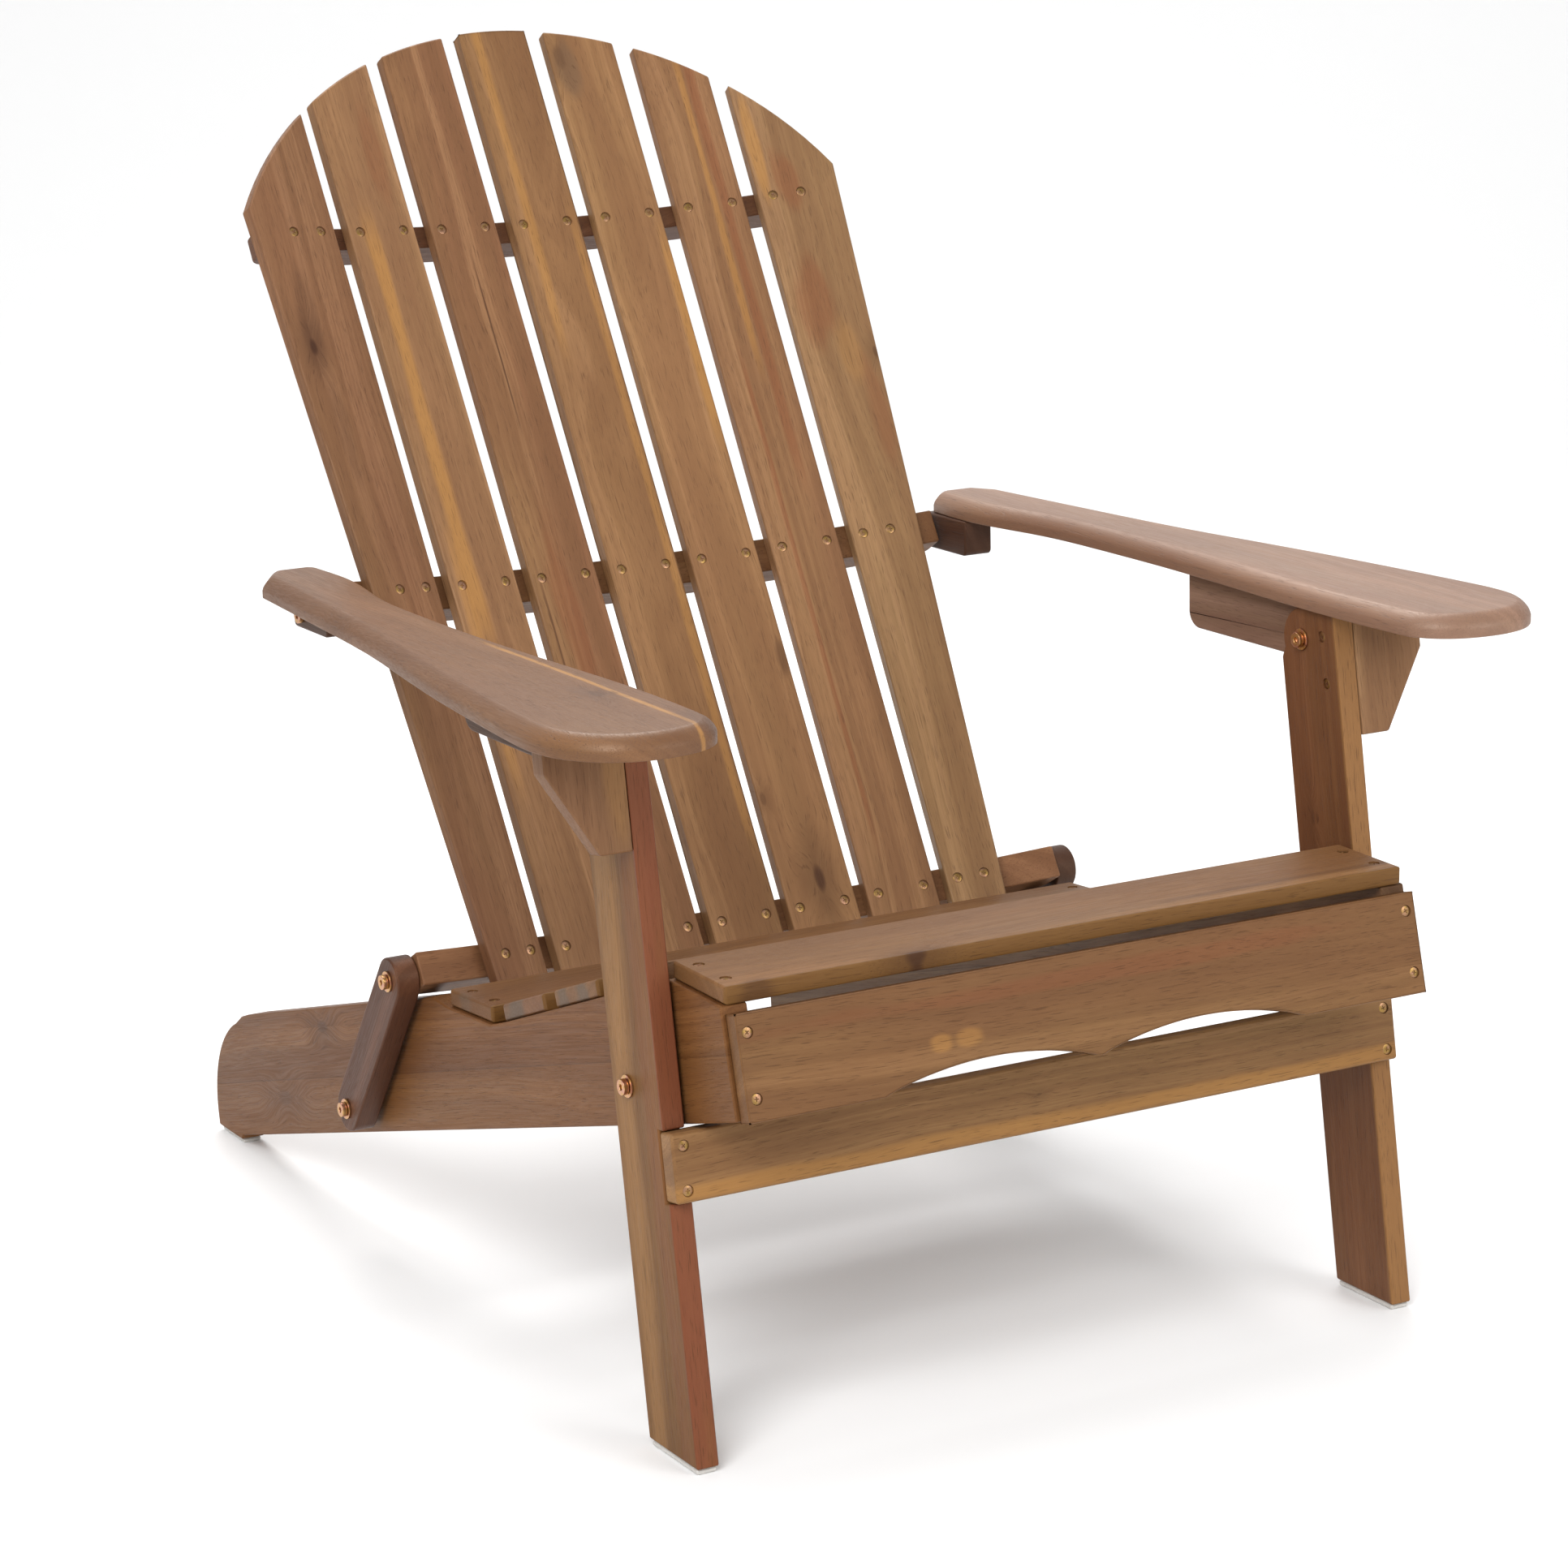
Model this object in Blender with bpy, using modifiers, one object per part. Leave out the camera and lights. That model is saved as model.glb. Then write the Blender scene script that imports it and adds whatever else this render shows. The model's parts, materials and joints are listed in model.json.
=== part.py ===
"""Folding adirondack chair in oiled hardwood.

Metres, +Z up. The origin is on the floor, under the middle of the chair's bounding box.
+X is the sitter's left and the chair faces -Y. Each board is a flat outline with a thickness:
the boards that run front to back are drawn in (Y, Z), the others in the plane of their face.
"""

import math

import bmesh
import bpy
from mathutils import Matrix, Vector

# ---------------------------------------------------------------- driving dimensions
FRONT_TO_ORIGIN = 0.410          # the leg toe stands this far in front of the origin
GAP = 0.0003                     # between pieces that touch
BOARD = 0.0125                   # thickness of seat slats and apron

# Sideways places, on the +X half
RAIL_INNER, RAIL_OUTER = 0.2515, 0.2715
LEG_INNER, LEG_OUTER = 0.2745, 0.2910
LINK_INNER, LINK_OUTER = 0.2765, 0.2945
SEAT_HALF = 0.2685
STRETCHER_HALF = 0.2905
CLEAT_OUTER = 0.3075
CORBEL_OUTER = 0.3490
BLOCK_INNER, BLOCK_OUTER = 0.2640, 0.2890

# Heights
GLIDE = 0.004
FOOT = GLIDE + GAP
ARM_UNDER, ARM_TOP = 0.4960, 0.5125
UNDER_ARM = ARM_UNDER - GAP

# Pivots as (depth from the leg toe, height)
LEG_PIVOT = (0.0820, 0.2463)
ARM_PIVOT = (0.1130, 0.4725)
BACK_PIVOT = (0.5970, 0.4775)
LINK_TOP = (0.4560, 0.2285)
LINK_FOOT = (0.5430, 0.1080)

# Leg
LEG_DEPTH = 0.067
LEG_SLOPE = 0.155                # leans back by this much per unit of height
LEG_TOP_ROUND = 0.0228           # rear top corner, about the arm pivot, so that it turns under the arm
LEG_TURN_START = 0.4560          # height where that corner leaves the rear edge
LEG_TURN = (-22, 82)             # and the angles it sweeps, in degrees
LEG_TOP_FLAT = 0.002             # the level top starts this far in front of the pivot

# Stretcher, let into the front edges of the legs
STRETCHER = 0.0165
STRETCHER_LET_IN = 0.0065
STRETCHER_LOW, STRETCHER_HIGH = 0.1820, 0.2283
NOTCH_CLEARANCE = 0.0008

# Apron: front face from its top edge, leaning forward at the bottom
APRON_TOP = (-0.0255, 0.3177)
APRON_LEAN = math.radians(14.0)
APRON_HEIGHT = 0.0702
APRON_HALF = 0.2685
APRON_ARCH_END = 0.168           # where the arches start, each side of the middle
APRON_ARCH = 0.0135
APRON_FULLNESS = 0.8             # below 1, the arches rise faster from their ends
APRON_STEPS = 40

# Corbel
CORBEL = 0.0165
CORBEL_LOW, CORBEL_SHOULDER = 0.4095, 0.4655
CORBEL_TOE = 0.3150
LEVEL_REACH = 0.006              # vertices this near the top of a leaning board are its top

# Arm, front cleat, rear block
ARM_ROUND = 0.0100
ARM_REAR_INNER, ARM_REAR_OUTER = (0.6130, 0.2750), (0.6130, 0.3080)
ARM_STEPS = 3                    # points along each stretch of the arm's curved edge
CLEAT_FRONT, CLEAT_REAR = 0.1030, 0.2790
CLEAT_LOW, CLEAT_ROUND = 0.4530, 0.0130
CLEAT_CLEARANCE = 0.0005         # from the leg that turns beside it
BLOCK_FRONT, BLOCK_REAR = 0.0460, 0.0150
BLOCK_DROP = 0.0100              # below the pivot that it carries
BLOCK_ROUND = 0.0040

# Side rail
RAIL_SLOPE = 0.283               # falls by this much per unit of depth
RAIL_HEIGHT = 0.1023             # vertical height of the parallel-sided stretch
RAIL_FRONT = (-0.0324, 0.2481)   # lower front corner
RAIL_HEEL = 0.8137               # where the underside meets the floor
RAIL_REAR_CENTRE = (0.7850, 0.0275)
RAIL_REAR_ROUND = 0.0823
RAIL_REAR_TURN = (-8, 66)        # angles of that round, in degrees
RAIL_FOOT_END = 0.8645
RAIL_TOE = -0.030                # where the underside meets the apron
HEEL_LENGTH = 0.003              # from the underside down to the foot
RAIL_REAR_END = (0.8052, 0.1116)
RAIL_TOP_END = (0.7917, 0.1164)
RAIL_TOP_START = 0.4300
FLAT_OVERRUN = 0.001             # a slat's flat on the rail is this much longer at each end

# Seat
SLAT_DEPTH = 0.0705
FRONT_SLAT = (-0.0125, 0.3205)   # lower front corner of the first slat
REAR_SLAT = (0.3350, 0.2222)     # lower front corner of the last slat
FRONT_SLAT_TILT = math.radians(1.0)
REAR_SLAT_TILT = math.radians(-3.4)
MIDDLE_SLATS = (0.0810, 0.1650, 0.2482)   # depth of the other slats' lower front corners
SEAT_SLOPE = math.radians(-20.0)
SEAT_REST = (0.3176, 0.2274)     # a point on the straight slope under them

# Link
LINK_WIDTH = 0.035

# Back: a line leaning back through BACK_ORIGIN, with heights measured along it
BACK_ORIGIN = (0.4350, 0.2365)
BACK_LEAN = math.radians(30.1)
BACK_TOP = 0.7602
BACK_BOTTOM = -0.025
TOP_RADIUS = 0.2952
BACK_SLAT = 0.012
BACK_SLAT_WIDTH = 0.058
HOLLOW, HOLLOW_GROWTH = 0.0146, 0.0112
HOLLOW_HALF, HOLLOW_HALF_GROWTH = 0.208, 0.0254
SLAT_STEP = 0.0680               # between the feet of the inner slats
SLAT_SPREAD = 0.0075             # sideways fan of the inner slats per unit of height
OUTER_SLAT_INNER = (0.1755, 0.0190)
OUTER_SLAT_OUTER = (0.2214, 0.0580)
TOP_STEPS = 8
RAIL_STEPS = 14
RAIL_TO_SLAT = 0.0014
BACK_RAIL = 0.0300               # depth of a cross rail, whose rear face follows the hollow too
BACK_RAIL_ROUND = 0.0110         # at its rear corners
RAILS = {                        # height range and half length
    "back_rail_bottom": (-0.0080, 0.0175, 0.2762),
    "back_rail_middle": (0.2810, 0.3080, 0.2589),
    "back_rail_top": (0.5812, 0.5995, 0.2500),
}

# Glides
GLIDE_HALF = 0.0075
GLIDE_EASE = 0.0012
FRONT_GLIDE = (0.002, 0.065)     # front and rear end
REAR_GLIDE = (0.8187, 0.8630)

# Bolts
BOLT_RADIUS, BOLT_HOLE = 0.0030, 0.0034
HEAD_RADIUS, HEAD_HEIGHT = 0.0055, 0.0038
SOCKET_RADIUS, SOCKET_DEPTH = 0.0023, 0.0022
WASHER_RADIUS, WASHER = 0.0078, 0.0014
NUT_RADIUS, NUT_HEIGHT = 0.0064, 0.0050
BLIND_HOLE = 0.030               # bolt hole into the end of the bottom cross rail
CLEAT_HOLE = 0.0150              # bolt hole into the front cleat
TIP_CLEARANCE = 0.0010           # from a bolt's tip to the end of its hole
BACK_TIP = 0.0005                # from the back bolt's tip to the rear block's inner face
ROUND_SIDES = 28
THROUGH = 0.040                  # a bore this long goes right through any board

# Edges
SLAT_EASE = 0.0012
BOARD_EASE = 0.0015

# ---------------------------------------------------------------- scene and materials
for thing in list(bpy.data.objects):
    bpy.data.objects.remove(thing, do_unlink=True)

parts = bpy.data.collections.new("adirondack_chair")
cutters = bpy.data.collections.new("cutters")
bpy.context.scene.collection.children.link(parts)
bpy.context.scene.collection.children.link(cutters)


def material(name, colour, roughness, metallic=0.0):
    made = bpy.data.materials.new(name)
    made.use_nodes = True
    shader = made.node_tree.nodes["Principled BSDF"]
    shader.inputs["Base Color"].default_value = (*colour, 1.0)
    shader.inputs["Roughness"].default_value = roughness
    shader.inputs["Metallic"].default_value = metallic
    made.diffuse_color = (*colour, 1.0)
    return made


GOLDEN = material("acacia_golden", (0.42, 0.22, 0.09), 0.45)
REDDISH = material("acacia_reddish", (0.32, 0.14, 0.07), 0.45)
DARK = material("acacia_dark", (0.19, 0.10, 0.07), 0.45)
ZINC = material("yellow_zinc", (0.75, 0.58, 0.30), 0.35, 1.0)
STEEL = material("zinc_steel", (0.62, 0.60, 0.56), 0.35, 1.0)
GLIDE_PLASTIC = material("glide_plastic", (0.70, 0.70, 0.69), 0.40)


# ---------------------------------------------------------------- places and outlines
def depth(y):
    """World Y of a depth measured from the leg toe."""
    return y - FRONT_TO_ORIGIN


def arc(centre, radius, start, end, steps):
    """Points on an arc, angles in degrees, both ends included."""
    angles = [math.radians(start + (end - start) * i / steps) for i in range(steps + 1)]
    return [(centre[0] + radius * math.cos(a), centre[1] + radius * math.sin(a)) for a in angles]


def frame_at(origin, right, up):
    """Matrix of a plane with these world axes; its thickness runs along right x up."""
    right = Vector(right).normalized()
    up = Vector(up).normalized()
    normal = right.cross(up)
    matrix = Matrix((right, up, normal)).transposed().to_4x4()
    matrix.translation = Vector(origin)
    return matrix


def side_plane(x):
    """The plane of an upright board that runs front to back: outline in (Y, Z)."""
    return frame_at((x, 0, 0), (0, 1, 0), (0, 0, 1))


# ---------------------------------------------------------------- makers
def link_part(name, mesh, look):
    piece = bpy.data.objects.new(name, mesh)
    parts.objects.link(piece)
    mesh.materials.clear()
    mesh.materials.append(look)
    return piece


def board(name, outline, plane, thickness, look):
    """A flat outline, centred on its plane, as a mesh object."""
    curve = bpy.data.curves.new(name, "CURVE")
    curve.dimensions = "2D"
    curve.fill_mode = "BOTH"
    curve.extrude = thickness / 2
    spline = curve.splines.new("POLY")
    spline.points.add(len(outline) - 1)
    for point, (u, v) in zip(spline.points, outline):
        point.co = (u, v, 0, 1)
    spline.use_cyclic_u = True
    drawn = bpy.data.objects.new(name + "_curve", curve)
    bpy.context.scene.collection.objects.link(drawn)
    drawn.matrix_world = plane
    graph = bpy.context.evaluated_depsgraph_get()
    mesh = bpy.data.meshes.new_from_object(drawn.evaluated_get(graph))
    cage = bmesh.new()
    cage.from_mesh(mesh)
    bmesh.ops.remove_doubles(cage, verts=cage.verts, dist=0.00002)
    bmesh.ops.recalc_face_normals(cage, faces=cage.faces)
    cage.to_mesh(mesh)
    cage.free()
    piece = link_part(name, mesh, look)
    piece.matrix_world = drawn.matrix_world
    bpy.data.objects.remove(drawn, do_unlink=True)
    bpy.data.curves.remove(curve)
    mesh.name = name
    return piece


def cylinder_mesh(name, radius, length, sides=ROUND_SIDES):
    """A closed cylinder along its local Z, centred on its origin."""
    mesh = bpy.data.meshes.new(name)
    cage = bmesh.new()
    bmesh.ops.create_cone(
        cage, cap_ends=True, segments=sides, radius1=radius, radius2=radius, depth=length
    )
    cage.to_mesh(mesh)
    cage.free()
    return mesh


def across(x, place):
    """Matrix of a round thing on an axis along X, at a (depth, height) place."""
    matrix = Matrix.Rotation(math.pi / 2, 4, "Y")
    matrix.translation = (x, depth(place[0]), place[1])
    return matrix


def boolean(piece, mesh, matrix, operation):
    """Joins a helper shape to a piece, or takes it away, with a modifier that stays on it."""
    tool = bpy.data.objects.new(piece.name + "_helper", mesh)
    cutters.objects.link(tool)
    tool.matrix_world = matrix
    tool.hide_render = True
    tool.display_type = "WIRE"
    modifier = piece.modifiers.new(operation.lower(), "BOOLEAN")
    modifier.operation = operation
    modifier.solver = "EXACT"
    modifier.object = tool


def bore(piece, x, place, length):
    """A round bolt hole along X."""
    boolean(piece, cylinder_mesh("bore", BOLT_HOLE, length), across(x, place), "DIFFERENCE")


# ---------------------------------------------------------------- side rails and seat
def rail_bottom(y):
    return RAIL_FRONT[1] - RAIL_SLOPE * (y - RAIL_FRONT[0])


def rail_top(y):
    return rail_bottom(y) + RAIL_HEIGHT


def apron_back(z):
    """Depth of the plane just behind the apron, where the side rails end."""
    down = APRON_TOP[1] - z
    return APRON_TOP[0] - down * math.tan(APRON_LEAN) + BOARD / math.cos(APRON_LEAN) + GAP


def seat_slats():
    """Lower front corner and tilt of each slat, from the front: level, three on the slope, level."""
    places = [(*FRONT_SLAT, FRONT_SLAT_TILT)]
    for y in MIDDLE_SLATS:
        places.append((y, SEAT_REST[1] + (y - SEAT_REST[0]) * math.tan(SEAT_SLOPE), SEAT_SLOPE))
    places.append((*REAR_SLAT, REAR_SLAT_TILT))
    return places


def seat_profile():
    """The side rail's upper edge: one flat for each slat, from the rear forward."""
    line = []
    for y, z, tilt in reversed(seat_slats()):
        for along in (SLAT_DEPTH + FLAT_OVERRUN, -FLAT_OVERRUN):
            line.append((y + along * math.cos(tilt), z + along * math.sin(tilt) - GAP))
    top = FRONT_SLAT[1] - GAP
    line[-1] = (apron_back(top), top)
    return line


def side_rail(name, side):
    outline = [(apron_back(rail_bottom(RAIL_TOE)), rail_bottom(RAIL_TOE))]
    outline += [(RAIL_HEEL, rail_bottom(RAIL_HEEL)), (RAIL_HEEL + HEEL_LENGTH, FOOT)]
    outline += [(RAIL_FOOT_END, FOOT)]
    outline += arc(RAIL_REAR_CENTRE, RAIL_REAR_ROUND, *RAIL_REAR_TURN, 16)
    outline += [RAIL_REAR_END, RAIL_TOP_END, (RAIL_TOP_START, rail_top(RAIL_TOP_START))]
    outline += seat_profile()
    outline = [(depth(y), z) for y, z in outline]
    middle = side * (RAIL_INNER + RAIL_OUTER) / 2
    piece = board(name, outline, side_plane(middle), RAIL_OUTER - RAIL_INNER, GOLDEN)
    bore(piece, middle, LEG_PIVOT, THROUGH)
    bore(piece, middle, LINK_FOOT, THROUGH)


def seat_slat(name, place):
    y, z, tilt = place
    plane = frame_at((0, depth(y), z), (1, 0, 0), (0, math.cos(tilt), math.sin(tilt)))
    plane = plane @ Matrix.Translation((0, 0, BOARD / 2))
    outline = [(-SEAT_HALF, 0), (SEAT_HALF, 0), (SEAT_HALF, SLAT_DEPTH), (-SEAT_HALF, SLAT_DEPTH)]
    piece = board(name, outline, plane, BOARD, GOLDEN)
    ease(piece, BOARD_EASE)


def apron(name):
    """Two shallow arches with a bump between them cut the lower edge."""
    up = (0, math.sin(APRON_LEAN), math.cos(APRON_LEAN))
    plane = frame_at((0, depth(APRON_TOP[0]), APRON_TOP[1]), (1, 0, 0), up)
    plane = plane @ Matrix.Translation((0, 0, -BOARD / 2))
    low = -APRON_HEIGHT
    edge = [(-APRON_HALF, low), (-APRON_ARCH_END, low)]
    for i in range(1, APRON_STEPS):
        x = APRON_ARCH_END * (2 * i / APRON_STEPS - 1)
        wave = math.sin(math.pi * abs(x) / APRON_ARCH_END)
        edge.append((x, low + APRON_ARCH * wave ** APRON_FULLNESS))
    edge += [(APRON_ARCH_END, low), (APRON_HALF, low)]
    outline = edge + [(APRON_HALF, 0), (-APRON_HALF, 0)]
    ease(board(name, outline, plane, BOARD, REDDISH), BOARD_EASE)


# ---------------------------------------------------------------- front frame
def leg_front(z):
    return LEG_SLOPE * (z - FOOT)


def leg(name, side):
    """Leaning board with a notch for the stretcher and a rear top corner round the arm pivot."""
    lean = math.atan(LEG_SLOPE)
    drop = (STRETCHER - STRETCHER_LET_IN) * math.sin(lean)
    low = STRETCHER_LOW - drop - NOTCH_CLEARANCE
    high = STRETCHER_HIGH - drop + NOTCH_CLEARANCE
    let_in = STRETCHER_LET_IN / math.cos(lean) + GAP
    dip = STRETCHER_LET_IN * math.sin(lean)
    outline = [(0, FOOT), (LEG_DEPTH, FOOT)]
    outline += [(leg_front(LEG_TURN_START) + LEG_DEPTH, LEG_TURN_START)]
    outline += arc(ARM_PIVOT, LEG_TOP_ROUND, *LEG_TURN, 12)
    outline += [(ARM_PIVOT[0] - LEG_TOP_FLAT, UNDER_ARM), (leg_front(UNDER_ARM), UNDER_ARM)]
    outline += [(leg_front(high), high), (leg_front(high - dip) + let_in, high - dip)]
    outline += [(leg_front(low - dip) + let_in, low - dip), (leg_front(low), low)]
    outline = [(depth(y), z) for y, z in outline]
    middle = side * (LEG_INNER + LEG_OUTER) / 2
    piece = board(name, outline, side_plane(middle), LEG_OUTER - LEG_INNER, REDDISH)
    bore(piece, middle, LEG_PIVOT, THROUGH)
    bore(piece, middle, ARM_PIVOT, THROUGH)


def stretcher(name):
    lean = math.atan(LEG_SLOPE)
    up = (0, math.sin(lean), math.cos(lean))
    front = leg_front(STRETCHER_LOW) + (STRETCHER_LET_IN - STRETCHER) / math.cos(lean)
    plane = frame_at((0, depth(front), STRETCHER_LOW), (1, 0, 0), up)
    plane = plane @ Matrix.Translation((0, 0, -STRETCHER / 2))
    high = (STRETCHER_HIGH - STRETCHER_LOW) / math.cos(lean)
    half = STRETCHER_HALF
    outline = [(-half, 0), (half, 0), (half, high), (-half, high)]
    ease(board(name, outline, plane, STRETCHER, GOLDEN), BOARD_EASE)


def corbel(name, side):
    """Bracket outside the leg, flush with its front edge and leaning with it."""
    lean = math.atan(LEG_SLOPE)
    up = (0, math.sin(lean), math.cos(lean))
    origin = (0, depth(leg_front(0)), 0)
    plane = frame_at(origin, (1, 0, 0), up) @ Matrix.Translation((0, 0, -CORBEL / 2))
    inner = LEG_OUTER + GAP
    heights = (CORBEL_LOW, CORBEL_SHOULDER, UNDER_ARM)
    low, shoulder, high = (z / math.cos(lean) for z in heights)
    points = [(inner, low), (CORBEL_TOE, low), (CORBEL_OUTER, shoulder), (CORBEL_OUTER, high)]
    points += [(inner, high)]
    outline = [(side * x, v) for x, v in points]
    piece = board(name, outline, plane, CORBEL, GOLDEN)
    level_top(piece, UNDER_ARM)


def level_top(piece, height):
    """Brings the vertices of a leaning board's top down or up to one level."""
    for vertex in piece.data.vertices:
        place = piece.matrix_world @ vertex.co
        if place.z > height - LEVEL_REACH:
            place.y += (height - place.z) * LEG_SLOPE
            place.z = height
            vertex.co = piece.matrix_world.inverted() @ place


# ---------------------------------------------------------------- arms
def arm_edges():
    """The underside outline as (depth, X): outer edge from the rear forward, then the inner."""
    outer = [(0.5870, 0.3235), (0.4660, 0.3335), (0.3540, 0.3442), (0.2600, 0.3582)]
    outer += [(0.1900, 0.3682), (0.1090, 0.3774), (0.0500, 0.3830), (0.0200, 0.3843)]
    outer += [(-0.0050, 0.3803), (-0.0250, 0.3695), (-0.0390, 0.3540), (-0.0455, 0.3370)]
    inner = [(-0.0470, 0.3200), (-0.0440, 0.3010), (-0.0360, 0.2850), (-0.0220, 0.2735)]
    inner += [(0.0000, 0.2690), (0.0930, 0.2685), (0.2070, 0.2755), (0.3000, 0.2800)]
    inner += [(0.4100, 0.2805), (0.4600, 0.2775), (0.5000, 0.2710), (0.5290, 0.2665)]
    inner += [(0.5600, 0.2650), (0.6030, 0.2670)]
    return outer + inner


def smooth(points, steps):
    """Points on a Catmull-Rom curve through these points, both ends included."""
    ends = [points[0]] + points + [points[-1]]
    curve = []
    for a, b, c, d in zip(ends, ends[1:], ends[2:], ends[3:]):
        for i in range(steps):
            t = i / steps
            weights = ((2 - t) * t - 1) * t, (3 * t - 5) * t * t + 2, ((4 - 3 * t) * t + 1) * t
            weights += ((t - 1) * t * t,)
            curve.append(tuple(sum(w * p[k] for w, p in zip(weights, (a, b, c, d))) / 2 for k in (0, 1)))
    return curve + [points[-1]]


def arm_outline(side):
    """Curved long edges, and a rear end with both corners cut off."""
    edge = smooth(arm_edges(), ARM_STEPS) + [ARM_REAR_INNER, ARM_REAR_OUTER]
    return [(side * x, depth(y)) for y, x in edge]


def arm(name, side):
    plane = Matrix.Translation((0, 0, (ARM_UNDER + ARM_TOP) / 2))
    piece = board(name, arm_outline(side), plane, ARM_TOP - ARM_UNDER, REDDISH)
    round_top(piece, ARM_ROUND)


def front_cleat(name, side):
    """Carries the arm pivot outside the leg; both lower corners are rounded."""
    low, high = CLEAT_LOW, UNDER_ARM
    radius = CLEAT_ROUND
    outline = [(CLEAT_FRONT, high)]
    outline += arc((CLEAT_FRONT + radius, low + radius), radius, 180, 270, 9)
    outline += arc((CLEAT_REAR - radius, low + radius), radius, 270, 360, 9)
    outline += [(CLEAT_REAR, high)]
    outline = [(depth(y), z) for y, z in outline]
    inner = LEG_OUTER + CLEAT_CLEARANCE
    middle = side * (inner + CLEAT_OUTER) / 2
    piece = board(name, outline, side_plane(middle), CLEAT_OUTER - inner, DARK)
    bore(piece, side * (LEG_OUTER + CLEAT_HOLE / 2), ARM_PIVOT, CLEAT_HOLE)


def rear_block(name, side):
    """Stands beside the middle cross rail and carries its pivot."""
    y, z = BACK_PIVOT
    front, rear, low = y - BLOCK_FRONT, y + BLOCK_REAR, z - BLOCK_DROP
    radius = BLOCK_ROUND
    outline = [(front, UNDER_ARM)]
    outline += arc((front + radius, low + radius), radius, 180, 270, 4)
    outline += arc((rear - radius, low + radius), radius, 270, 360, 4)
    outline += [(rear, UNDER_ARM)]
    outline = [(depth(y), z) for y, z in outline]
    middle = side * (BLOCK_INNER + BLOCK_OUTER) / 2
    piece = board(name, outline, side_plane(middle), BLOCK_OUTER - BLOCK_INNER, DARK)
    bore(piece, middle, BACK_PIVOT, THROUGH)


# ---------------------------------------------------------------- back
def hollow(x, h):
    """How far the back's surface lies behind its outer screws."""
    deep = HOLLOW + HOLLOW_GROWTH * h
    half = HOLLOW_HALF + HOLLOW_HALF_GROWTH * h
    return deep * (1 - (x / half) ** 2)


def back_frame():
    """X across, Y up along the back, Z forward out of it."""
    up = (0, math.sin(BACK_LEAN), math.cos(BACK_LEAN))
    return frame_at((0, depth(BACK_ORIGIN[0]), BACK_ORIGIN[1]), (1, 0, 0), up)


def slat_plane(x, spread):
    """Plane of one slat: it touches the hollow at its foot and at its head."""
    foot = Vector((x, 0, -hollow(x, 0)))
    reach = BACK_TOP
    top_x = x + spread * reach
    head = Vector((top_x, reach, -hollow(top_x, reach)))
    up = (head - foot).normalized()
    step = 0.001
    x_half, h_half = (x + top_x) / 2, reach / 2
    across_slat = Vector((2 * step, 0, hollow(x_half - step, h_half) - hollow(x_half + step, h_half)))
    across_slat -= up * across_slat.dot(up)
    return frame_at(foot, across_slat, up)


def slat_outline(plane, left, right):
    """Straight sides from the foot up to the arch; left and right are (foot, slope)."""
    inverse = plane.inverted()
    centre = BACK_TOP - TOP_RADIUS

    def edge(side_line, h):
        return side_line[0] + side_line[1] * h

    def crossing(side_line):
        h = BACK_TOP
        for _ in range(40):
            reach = TOP_RADIUS**2 - edge(side_line, h) ** 2
            h = centre + math.sqrt(max(reach, 0.0))
        return h

    tops = [(edge(right, crossing(right)), crossing(right))]
    first, last = tops[0][0], edge(left, crossing(left))
    for i in range(1, TOP_STEPS + 1):
        x = first + (last - first) * i / TOP_STEPS
        tops.append((x, centre + math.sqrt(TOP_RADIUS**2 - x * x)))
    line = [(edge(left, BACK_BOTTOM), BACK_BOTTOM), (edge(right, BACK_BOTTOM), BACK_BOTTOM)] + tops
    return [tuple((inverse @ Vector((x, h, -hollow(x, h))))[:2]) for x, h in line]


def back_slat(name, number):
    """Slat by number from the middle, 0 to 3, negative towards -X."""
    side = -1 if number < 0 else 1
    rank = abs(number)
    half = BACK_SLAT_WIDTH / 2
    if rank < 3:
        foot = SLAT_STEP * rank
        spread = SLAT_SPREAD * rank
        edges = ((foot - half, spread), (foot + half, spread))
    else:
        edges = (OUTER_SLAT_INNER, OUTER_SLAT_OUTER)
    foot = sum(e[0] for e in edges) / 2
    spread = sum(e[1] for e in edges) / 2
    if side < 0:
        edges = tuple((-a, -b) for a, b in reversed(edges))
    plane = slat_plane(side * foot, side * spread)
    outline = slat_outline(plane, *edges)
    placed = back_frame() @ plane @ Matrix.Translation((0, 0, -BACK_SLAT / 2))
    look = GOLDEN if number % 2 == 0 else REDDISH
    ease(board(name, outline, placed, BACK_SLAT, look), SLAT_EASE)


def back_rail(name, low, high, half):
    """Cross rail sawn to the hollow of the back, front and rear, with round rear corners."""
    middle = (low + high) / 2

    def face(x):
        return -hollow(x, middle) - BACK_SLAT - RAIL_TO_SLAT

    radius = BACK_RAIL_ROUND
    corner = (half - radius, face(half) - BACK_RAIL + radius)
    right = arc(corner, radius, -80, 0, 8)
    left = [(-x, v) for x, v in reversed(right)]
    outline = []
    for i in range(RAIL_STEPS + 1):
        x = (half - radius) * (2 * i / RAIL_STEPS - 1)
        outline.append((x, face(x) - BACK_RAIL))
    outline = left + outline[1:-1] + right
    for i in range(RAIL_STEPS + 1):
        x = half * (1 - 2 * i / RAIL_STEPS)
        outline.append((x, face(x)))
    # The outline is drawn across the back: X sideways, depth upwards, thickness along the slats.
    lie_down = Matrix.Rotation(math.radians(90), 4, "X")
    plane = back_frame() @ Matrix.Translation((0, middle, 0)) @ lie_down
    piece = board(name, outline, plane, high - low, DARK)
    if name == "back_rail_bottom":
        for side in (1, -1):
            bore(piece, side * half, LINK_TOP, 2 * BLIND_HOLE)


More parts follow.
